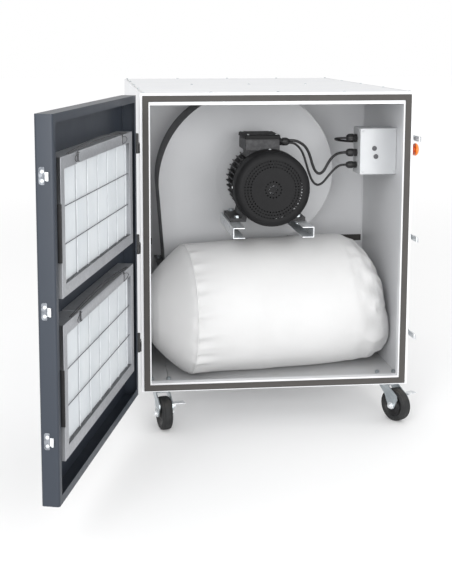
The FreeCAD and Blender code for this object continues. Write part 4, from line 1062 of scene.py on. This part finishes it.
@dataclass
class Electrics:
    """Control box with glands and plugs, the cables and the stop button.

    Attributes:
        low: The control box's lowest corner.
        high: Its highest corner.
        gland_y: The glands' place along Y.
        glands: Height and radius of each gland on the box.
        button: Y and Z of the stop button.
    """

    low: Point = (283, -421, 748)
    high: Point = (398, -334, 891)
    gland_y: float = -378.0
    glands: tuple[Flat, ...] = ((858, 13.5), (813, 12.5), (775, 11.0))
    button: Flat = (-553.0, 838.0)
    cords: list[Cord] = field(default_factory=lambda: [
        Cord("motor_cable_upper", 8.5, 272.5, [
            (66, -404, 855), (82, -404, 855), (98, -403, 849), (114, -401, 838),
            (126, -399, 821), (134, -397, 800), (141, -395, 777), (150, -393, 757),
            (163, -391, 748), (177, -389, 756), (187, -387, 774), (199, -385, 793),
            (214, -382, 807), (232, -378, 813), (250, -378, 813)]),
        Cord("motor_cable_lower", 7.0, 289.0, [
            (66, -395, 847), (80, -395, 847), (94, -394, 837), (106, -393, 823),
            (115, -391, 804), (122, -390, 782), (129, -388, 759), (137, -387, 737),
            (147, -385, 720), (161, -383, 712), (176, -382, 719), (189, -380, 734),
            (203, -379, 751), (218, -378, 766), (233, -378, 775), (250, -378, 775)]),
        Cord("supply_cable", 7.0, 226.4, [
            (250, -378, 858), (238, -378, 858), (226, -373, 857), (220, -362, 855),
            (221, -349, 852), (229, -338, 849), (242, -330, 846), (260, -325, 844),
            (282, -322, 842), (308, -320, 841), (340, -318, 840), (364, -317, 840),
            (388, -317, 840)]),
    ])

    def build_cords(self) -> None:
        """Make the three cables."""
        for cord in self.cords:
            cord.build()

    def build(self) -> None:
        """Make the box, its glands and plugs and the stop button."""
        x0, y0, z0 = self.low
        x1, y1, z1 = self.high
        seam = y0 + 16
        shell = Form().block((x0, seam + 1.2, z0), (x1, y1, z1))
        shell.build("control_box_shell", "cabinet", BOX, 2.4, ["control_box"])
        groove = Form().block((x0 + 1.2, seam - 0.4, z0 + 1.2), (x1 - 0.4, seam + 1.6, z1 - 1.2))
        groove.build("control_box_seal", "cabinet", SEAL)
        lid = Form().block((x0, y0 + 0.4, z0), (x1 - 0.2, seam, z1))
        lid.build("control_box_lid", "cabinet", BOX, 3.2)
        screws = Form()
        for x in (x0 + 9, x1 - 9):
            for z in (z0 + 9, z1 - 9):
                pan_head(screws, Axis.Y, y0 + 0.4, (x, z), 3.4, -1)
        screws.build("control_box_screws", "cabinet", BOX)
        plugs = Form()
        for x, z in ((x0 + 45, z0 + 81), (x0 + 50, z0 + 56)):
            plugs.lathe(Axis.Y, (x, z), [(y0 + 0.2, 7.5), (y0 - 1.2, 7.5), (y0 - 2.0, 6.8),
                                         (y0 - 2.0, 4.6), (y0 - 0.6, 4.2), (y0 - 0.6, 1.8),
                                         (y0 - 1.8, 1.6), (y0 - 1.8, 0.1)], 32)
        plugs.build("knockout_plugs", "cabinet", PLUG, 0.0, ["box_plugs"])
        self.gland_pieces()
        self.stop_button()

    def gland_pieces(self) -> None:
        """Make the cable glands: hexagon body, ribbed dome nut and seal."""
        bodies = Form()
        domes = Form()
        x0 = self.low[0]
        spots = [(x0, -1, self.gland_y, z, r, 33.0) for z, r in self.glands]
        spots.append((32.0, 1, -400.0, 851.0, 12.5, 34.0))
        for seat, way, y, z, radius, long in spots:
            hexagon = [(seat, radius), (seat + way * 9, radius), (seat + way * 10, radius - 1)]
            bodies.lathe(Axis.X, (y, z), hexagon, 6)
            bodies.lathe(Axis.X, (y, z), [(seat + way * 9.5, radius * 0.74),
                                          (seat + way * 14, radius * 0.74)], 32)
            share = [(0.36, 0.94), (0.4, 1.0), (0.72, 0.98), (0.86, 0.86), (0.96, 0.68),
                     (1.0, 0.58)]
            nut = [(seat + way * long * a, radius * r) for a, r in share]
            domes.lathe(Axis.X, (y, z), nut, 36, ribs=radius * 0.05)
        domes.lathe(Axis.X, (-317, 840), [(398, 10), (393, 10), (390, 7.6), (388, 5.4)], 32)
        bodies.build("gland_bodies", "cabinet", PLASTIC, 0.5, ["cable_glands"])
        domes.build("gland_nuts", "cabinet", PLASTIC)

    def stop_button(self) -> None:
        """Make the stop button's collar and its mushroom head."""
        collar = [(400, 8.1), (400, 20.4), (401.2, 21), (405.2, 20.6), (407.6, 18.6),
                  (408.2, 16.5), (408.2, 8.1)]
        base = Form().lathe(Axis.X, self.button, collar, 48, True)
        base.build("stop_collar", "cabinet", RED, 0.0, ["stop_button_base"])
        head = [(405.2, 7.8), (412.6, 7.8), (413.4, 12), (413.6, 17.2), (414.4, 18.6),
                (416.6, 18.9), (419.4, 17.6), (422.2, 14.2), (424.2, 9.6), (425.3, 4.6),
                (425.5, 0.2)]
        cap = Form().lathe(Axis.X, self.button, head, 48)
        cap.build("stop_mushroom", "button", ORANGE, 0.0, ["stop_button"])


# ------------------------------------------------------------------ running gear
@dataclass
class Caster:
    """One caster: its tyre, hub and axle nuts.

    Attributes:
        name: The wheel's name in the frame.
        wheel: The wheel's body.
        mount: The body that the axle rides on.
        x: The swivel's X.
        y: The swivel's Y.
        turn: Degrees that it stands turned.
        trail: From the swivel to the axle.
    """

    name: str
    wheel: str
    mount: str
    x: float
    y: float
    turn: float = 0.0
    trail: float = 0.0

    def build(self) -> None:
        """Make the tyre, the hub and the axle nuts."""
        around = placed(self.x, self.y, self.turn)
        axle = (-self.trail, 50.0)
        tread = [(-12.6, 33), (-15.2, 35.5), (-16, 39), (-15.6, 44.4), (-13.2, 48.2), (-9, 49.6),
                 (-8.2, 48.8), (-7.4, 49.8), (0, 50), (7.4, 49.8), (8.2, 48.8), (9, 49.6),
                 (13.2, 48.2), (15.6, 44.4), (16, 39), (15.2, 35.5), (12.6, 33)]
        tyre = Form(around).lathe(Axis.X, axle, tread, 72, True)
        tyre.build(f"tyre_{self.name}", self.wheel, TYRE, 0.0, [f"wheel_{self.name}"])
        core = [(-17.6, 6.15), (-17.6, 12), (-14, 13.6), (-10, 18), (-8.4, 24), (-10.6, 30),
                (-13.4, 33.2), (13.4, 33.2), (10.6, 30), (8.4, 24), (10, 18), (14, 13.6),
                (17.6, 12), (17.6, 6.15)]
        hub = Form(around).lathe(Axis.X, axle, core, 48, True)
        hub.build(f"hub_{self.name}", self.wheel, PLASTIC, 0.0)
        nuts = Form(around)
        for way in (-1, 1):
            face = 22.1 * way
            nuts.lathe(Axis.X, axle, [(face, 11), (face + 1.2 * way, 11)], 32)
            nuts.lathe(Axis.X, axle, [(face + 1.2 * way, 9), (face + 6 * way, 9)], 6)
            nuts.lathe(Axis.X, axle, [(face + 5.8 * way, 7.4), (face + 8.6 * way, 6),
                                      (face + 10.2 * way, 3), (face + 10.4 * way, 0.3)], 24)
        nuts.build(f"axle_nuts_{self.name}", self.mount, BRIGHT_ZINC, 0.4)


@dataclass
class RunningGear:
    """The four casters, two that swivel and two that don't.

    Attributes:
        left: X of the left casters.
        right: X of the right casters.
        reach: How far the casters stand from the middle along Y.
        turned: Degrees that the left and the right front fork stand turned.
        trail: From a fork's swivel to its axle.
    """

    left: float = -338.0
    right: float = 364.0
    reach: float = 500.0
    turned: Flat = (11.0, 30.0)
    trail: float = 36.0

    def build(self, frame: dict) -> None:
        """Dress the forks and pedals and make the wheels.
        """
        dress(frame, ZINC, 0.6, "caster_mounts", "front_fork_left", "front_fork_right")
        dress(frame, BRIGHT_ZINC, 0.6, "brake_pedal_left", "brake_pedal_right")
        for caster in (
            Caster("front_left", "wheel_fl", "fork_left", self.left, -self.reach,
                   self.turned[0], self.trail),
            Caster("front_right", "wheel_fr", "fork_right", self.right, -self.reach,
                   self.turned[1], self.trail),
            Caster("rear_left", "wheel_rl", "cabinet", self.left, self.reach),
            Caster("rear_right", "wheel_rr", "cabinet", self.right, self.reach),
        ):
            caster.build()


# ------------------------------------------------------------------ filter bag
@dataclass
class FilterBag:
    """White cloth bag, blown full, with a sewn-in round end.

    Attributes:
        height: Height of its middle line.
        y: Its middle line's place along Y.
        turn: Degrees that it lies turned.
        spine: Place along the bag, radius and height of the section's middle, at stations.
        seam: Where the end is sewn in.
        around: Points round a section.
        steps: Sections from end to end.
        cap: The most that the cloth may move when it is blown up.
    """

    height: float = 330.4
    y: float = -342.0
    turn: float = 7.5
    spine: tuple[Point, ...] = (
        (-389, 2, 0), (-387, 44, 0), (-378, 76, 0), (-358, 104, 0), (-328, 136, 0),
        (-294, 168, 0), (-268, 190, 1), (-252, 197, 2), (-200, 199, 3), (-120, 201, 4),
        (-40, 202, 6), (60, 203, 9), (160, 204, 12), (236, 202, 13), (286, 194, 10),
        (322, 180, 6), (348, 154, 0), (366, 116, -6), (377, 62, -14), (381, 2, -16))
    seam: float = -256.0
    around: int = 200
    steps: int = 176
    cap: float = 12.0

    def station(self, along: float) -> tuple[float, float]:
        """Give the radius and middle height at a place along the bag."""
        for (a, r0, h0), (b, r1, h1) in zip(self.spine, self.spine[1:]):
            if a <= along <= b:
                t = (along - a) / (b - a)
                return r0 + (r1 - r0) * t, h0 + (h1 - h0) * t
        return 1.0, 0.0

    def pucker(self, along: float, turn: float) -> float:
        """Give how far the gathered cloth stands in or out at a point.

        Args:
            along: The point's place along the bag.
            turn: Its turn round the bag in radians.

        Returns:
            The way out in millimetres.
        """
        past = along - self.seam
        low_front = 0.5 + 0.5 * math.cos(turn - math.radians(214))
        strong = 0.3 + 0.7 * low_front ** 2
        round_x, round_y = math.cos(turn), math.sin(turn)
        if past >= 0:
            fade = math.exp(-((past / (16 + 24 * low_front)) ** 1.4))
        else:
            fade = 0.4 * math.exp(past / 12)
        wave = 0.0
        for count, share, shift in ((23, 0.7, 0.7), (39, 0.3, 2.1), (61, 0.12, 4.0)):
            bend = 1.8 * noise.noise(Vector((round_x * 2.2, round_y * 2.2, shift)))
            wave += share * math.sin(count * turn + shift + bend + past * 0.01)
        gather = (wave - 0.6) * 7.5 * strong * fade
        ridge = 2.4 * math.exp(-((past / 4.5) ** 2))
        rumple = 0.0
        if along > 215:
            far = min(1.0, (along - 215) / 90)
            spot = Vector((along * 0.013, round_x * 2.1, round_y * 2.1))
            crease = abs(noise.noise(spot * 1.7 + Vector((3.1, 0.0, 7.7))))
            rumple = (noise.noise(spot) * 15 - crease * 16 + 2.5) * far
        broad = noise.noise(Vector((along * 0.0055, round_x * 0.9, round_y * 0.9))) * 6
        return gather + ridge + rumple + broad

    def kept(self, point: Vector) -> Vector:
        """Keep a point inside the cabinet, off the floor, walls, front and fan outlet.

        Args:
            point: The point in millimetres.

        Returns:
            The nearest point that is clear.
        """
        x, y, z = point
        z = max(z, 133.4)
        x = min(max(x, -395.5), 395.5)
        y = max(y, -577.0)
        near = min(1.0, max(0.0, (y + 268) / 24)) * min(1.0, max(0.0, (-24 - x) / 30))
        ceiling = 424.0 + (1 - near) * 130
        z = min(z, ceiling)
        y = min(y, -20.0)
        return Vector((x, y, z))

    def grid(self) -> tuple[list[list[Vector]], list[Vector]]:
        """Give the bag before it is blown up.

        Returns:
            The points of each section, and for each point the way that it is gathered.
        """
        frame = placed(0, self.y, self.turn, self.height)
        first, last = self.spine[0][0], self.spine[-1][0]
        rows = []
        ways = []
        for step in range(self.steps + 1):
            share = step / self.steps
            ease = 0.5 - 0.5 * math.cos(math.pi * share)
            along = first + (last - first) * (0.62 * share + 0.38 * ease)
            radius, lift = self.station(along)
            tip = max(0.0, (along - 130) / (last - 130)) ** 1.5
            row = []
            for n in range(self.around):
                turn = 2 * math.pi * n / self.around
                c, s = math.cos(turn), math.sin(turn)
                sag = 1 + 0.09 * max(0.0, -s) * abs(2 * c * s)
                lean = along - (0.34 if s < 0 else 0.1) * radius * s * tip
                flat = -self.height + 134.0
                up = s * radius * sag + lift
                if up < flat + 22:
                    up = flat + 22 * math.exp((up - flat - 22) / 22)
                row.append(self.kept(frame @ Vector((lean, c * radius * sag, up))))
                out = frame.to_3x3() @ Vector((0, c, s))
                ways.append(out * self.pucker(along, turn) * min(1.0, radius / 90))
            rows.append(row)
        return rows, ways

    def gather(self, piece: bpy.types.Object, ways: Sequence[Vector]) -> None:
        """Draw the cloth in along its seam and rumple its far end."""
        for vertex, way in zip(piece.data.vertices, ways):
            vertex.co = self.kept(vertex.co / MM + way) * MM

    def blow(self, piece: bpy.types.Object) -> None:
        """Blow the cloth up by simulation, no point moving more than the cap.

        Args:
            piece: The bag, whose mesh takes the result.
        """
        rest = [v.co.copy() for v in piece.data.vertices]
        cloth = piece.modifiers.new("cloth", "CLOTH")
        kit = cloth.settings
        kit.quality = 5
        kit.mass = 0.3
        kit.tension_stiffness = kit.compression_stiffness = 22
        kit.shear_stiffness = 10
        kit.bending_stiffness = 0.4
        kit.use_pressure = True
        kit.uniform_pressure_force = 4.0
        kit.effector_weights.gravity = 0.0
        cloth.point_cache.frame_start, cloth.point_cache.frame_end = 1, 20
        scene = bpy.context.scene
        for number in range(1, 21):
            scene.frame_set(number)
        blown = piece.evaluated_get(bpy.context.evaluated_depsgraph_get()).data
        moved = [v.co.copy() for v in blown.vertices]
        piece.modifiers.remove(cloth)
        scene.frame_set(1)
        for vertex, start, stop in zip(piece.data.vertices, rest, moved):
            step = stop - start
            if step.length > self.cap * MM:
                step *= self.cap * MM / step.length
            vertex.co = self.kept((start + step) / MM) * MM

    def build(self) -> None:
        """Make the bag, its sewn seam and its neck."""
        rows, ways = self.grid()
        form = Form()
        form.skin(rows)
        bmesh.ops.scale(form.mesh, vec=(MM, MM, MM), verts=form.mesh.verts)
        bmesh.ops.recalc_face_normals(form.mesh, faces=form.mesh.faces)
        mesh = bpy.data.meshes.new("bag_body")
        form.mesh.to_mesh(mesh)
        form.mesh.free()
        bag = bpy.data.objects.new("bag_body", mesh)
        bpy.context.scene.collection.objects.link(bag)
        self.blow(bag)
        self.gather(bag, ways)
        ring = min(range(self.steps + 1),
                   key=lambda n: abs(sum(p.x for p in rows[n]) / self.around - self.seam))
        first = ring * self.around
        seam = [mesh.vertices[first + n].co / MM for n in range(self.around)]
        mesh.shade_smooth()
        mesh.materials.append(CLOTH.material())
        soft = bag.modifiers.new("soft", "SUBSURF")
        soft.levels = soft.render_levels = 1
        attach(bag, "cabinet")
        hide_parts("filter_bag")
        pieces = [self.seam_piece(seam), self.neck()]
        LOG.info("bag_body with %s", ", ".join(p.name for p in pieces))

    def seam_piece(self, ring: list[Vector]) -> bpy.types.Object:
        """Make the sewn cord and stitches along the seam.

        Args:
            ring: The cloth's points along the seam.

        Returns:
            The piece.
        """
        count = len(ring)
        eased = [(ring[n - 2] + ring[n - 1] + ring[n] + ring[(n + 1) % count]
                  + ring[(n + 2) % count]) / 5 for n in range(count)]
        middle = sum(eased, Vector()) / count
        form = Form()
        form.tube([self.kept(p + (p - middle).normalized() * 0.9) for p in eased], 1.5, 8, True)
        shift = Vector((5.0, 0.8, 0.0))
        for n in range(0, count, 2):
            start = ring[n] + shift + (ring[n] - middle).normalized() * 0.6
            stop = ring[(n + 1) % count] + shift + (ring[n] - middle).normalized() * 0.6
            form.tube([self.kept(start), self.kept(start.lerp(stop, 0.7))], 0.5, 6)
        return form.build("bag_seam", "cabinet", THREAD)

    def neck(self) -> bpy.types.Object:
        """Make the gathered neck that goes up to the fan outlet.

        Returns:
            The piece.
        """
        form = Form()
        rings = []
        for z, grow in ((318, -34), (352, -22), (384, -8), (408, 0), (420, 3), (424, 4),
                        (426.4, 3)):
            ring = []
            for n in range(120):
                turn = 2 * math.pi * n / 120
                wide, deep = 104.0 + grow, 92.0 + grow
                power = 0.45
                c, s = math.cos(turn), math.sin(turn)
                fold = 2.4 * math.sin(26 * turn + z * 0.03) * (0.3 if z > 418 else 1.0)
                ring.append(Vector((-192 + math.copysign(abs(c) ** power, c) * (wide + fold),
                                    -122 + math.copysign(abs(s) ** power, s) * (deep + fold), z)))
            rings.append(ring)
        return form.skin(rings).build("bag_neck", "cabinet", CLOTH)


# ------------------------------------------------------------------ latches
@dataclass
class Latches:
    """Latch bases and levers on the right wall."""

    names: tuple[str, ...] = ("top", "middle", "bottom")

    def build(self, frame: dict) -> None:
        """Dress the bases and the levers."""
        dress(frame, BRIGHT_ZINC, 0.4, "latch_bases")
        dress(frame, BRIGHT_ZINC, 0.5, *[f"latch_lever_{name}" for name in self.names])


# ------------------------------------------------------------------ studio
@dataclass
class Studio:
    """Camera, soft lights, pale floor darkened near the cabinet as painted shade, and white
    surround.

    Attributes:
        eye: Where the camera stands, in metres.
        tilt: Its turn about X, Y and Z, in radians.
        lens: Its focal length in millimetres.
        shift: Its lens shift.
    """

    eye: Point = (-0.5565, -3.6983, 1.1602)
    tilt: Point = (1.4320, 0.0010, -0.1023)
    lens: float = 67.54
    shift: Flat = (0.05, -0.17)

    def camera(self) -> None:
        """Stand the camera."""
        data = bpy.data.cameras.new("camera")
        data.sensor_width = 36.0
        data.lens = self.lens
        data.shift_x, data.shift_y = self.shift
        data.dof.use_dof = False
        data.clip_start, data.clip_end = 0.05, 60.0
        camera = bpy.data.objects.new("camera", data)
        camera.location = self.eye
        camera.rotation_euler = self.tilt
        bpy.context.scene.collection.objects.link(camera)
        bpy.context.scene.camera = camera

    def lamp(self, name: str, place: Point, aim: Point, size: float, power: float) -> None:
        """Hang a square soft light.

        Args:
            name: The light's name.
            place: Where it hangs, in metres.
            aim: The point that it faces.
            size: Its side in metres.
            power: Its power in watts.
        """
        data = bpy.data.lights.new(name, "AREA")
        data.size = size
        data.energy = power
        lamp = bpy.data.objects.new(name, data)
        lamp.visible_camera = False
        lamp.location = place
        lamp.rotation_euler = (Vector(aim) - Vector(place)).to_track_quat("-Z", "Y").to_euler()
        bpy.context.scene.collection.objects.link(lamp)

    def build(self) -> None:
        """Lay the floor and set the light."""
        world = bpy.data.worlds.new("surround")
        world.use_nodes = True
        ground = world.node_tree.nodes["Background"]
        ground.inputs["Color"].default_value = (1.0, 1.0, 1.0, 1.0)
        ground.inputs["Strength"].default_value = 1.0
        scene = bpy.context.scene
        scene.world = world
        scene.view_settings.view_transform = "Standard"
        mesh = bpy.data.meshes.new("studio_floor")
        reach = 30.0
        mesh.from_pydata([(-reach, -reach, 0), (reach, -reach, 0), (reach, reach, 0),
                          (-reach, reach, 0)], [], [(0, 1, 2, 3)])
        floor = bpy.data.objects.new("studio_floor", mesh)
        bpy.context.scene.collection.objects.link(floor)
        recipe = Recipe("studio_white")
        away = recipe.node("ShaderNodeVectorMath", {"operation": "LENGTH"}, {0: recipe.place()}, 1)
        # Painted shade: the floor's colour is darker within about 2 m of the cabinet and whiter
        # beyond 7 m, deepening the cabinet's shadow on the floor.
        floor_painted_shade = recipe.blend(away.step(2.2, 7.0), (0.85, 0.85, 0.85, 1), (0.97, 0.97, 0.97, 1))
        recipe.feed("Base Color", floor_painted_shade)
        recipe.feed("Roughness", 0.9)
        recipe.feed("Emission Color", (1.0, 1.0, 1.0, 1.0))
        recipe.feed("Emission Strength", 0.05)
        mesh.materials.append(recipe.material)
        self.lamp("front_left", (-2.4, -7.0, 1.9), (0.1, 0.0, 0.6), 3.2, 228.0)
        self.lamp("front_right", (1.7, -7.2, 1.7), (-0.1, 0.0, 0.7), 3.2, 195.0)
        self.lamp("key", (-2.2, -4.4, 3.6), (0.0, -0.2, 0.5), 1.8, 36.0)


def plain(box: tuple[Vector, Vector]) -> list[list[float]]:
    """Give a box as plain lists of numbers."""
    return [[float(level) for level in corner] for corner in box]


def main() -> None:
    """Build every piece in order."""
    logging.basicConfig(level=logging.INFO, format="%(message)s")
    for old in list(bpy.data.objects):
        bpy.data.objects.remove(old)
    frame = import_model()
    studio = Studio()
    studio.camera()
    electrics = Electrics()
    electrics.build_cords()
    Cabinet().build(frame)
    Door().build(frame)
    for name, low in (("upper", 597.0), ("lower", 225.0)):
        Cassette(name, low).build()
    dress(frame, PLASTIC, 0.6, "side_retainers")
    Blower().build(frame)
    electrics.build()
    RunningGear().build(frame)
    Latches().build(frame)
    FilterBag().build()
    studio.build()
    LOG.info("dust collector built")


if __name__ == "__main__":
    main()
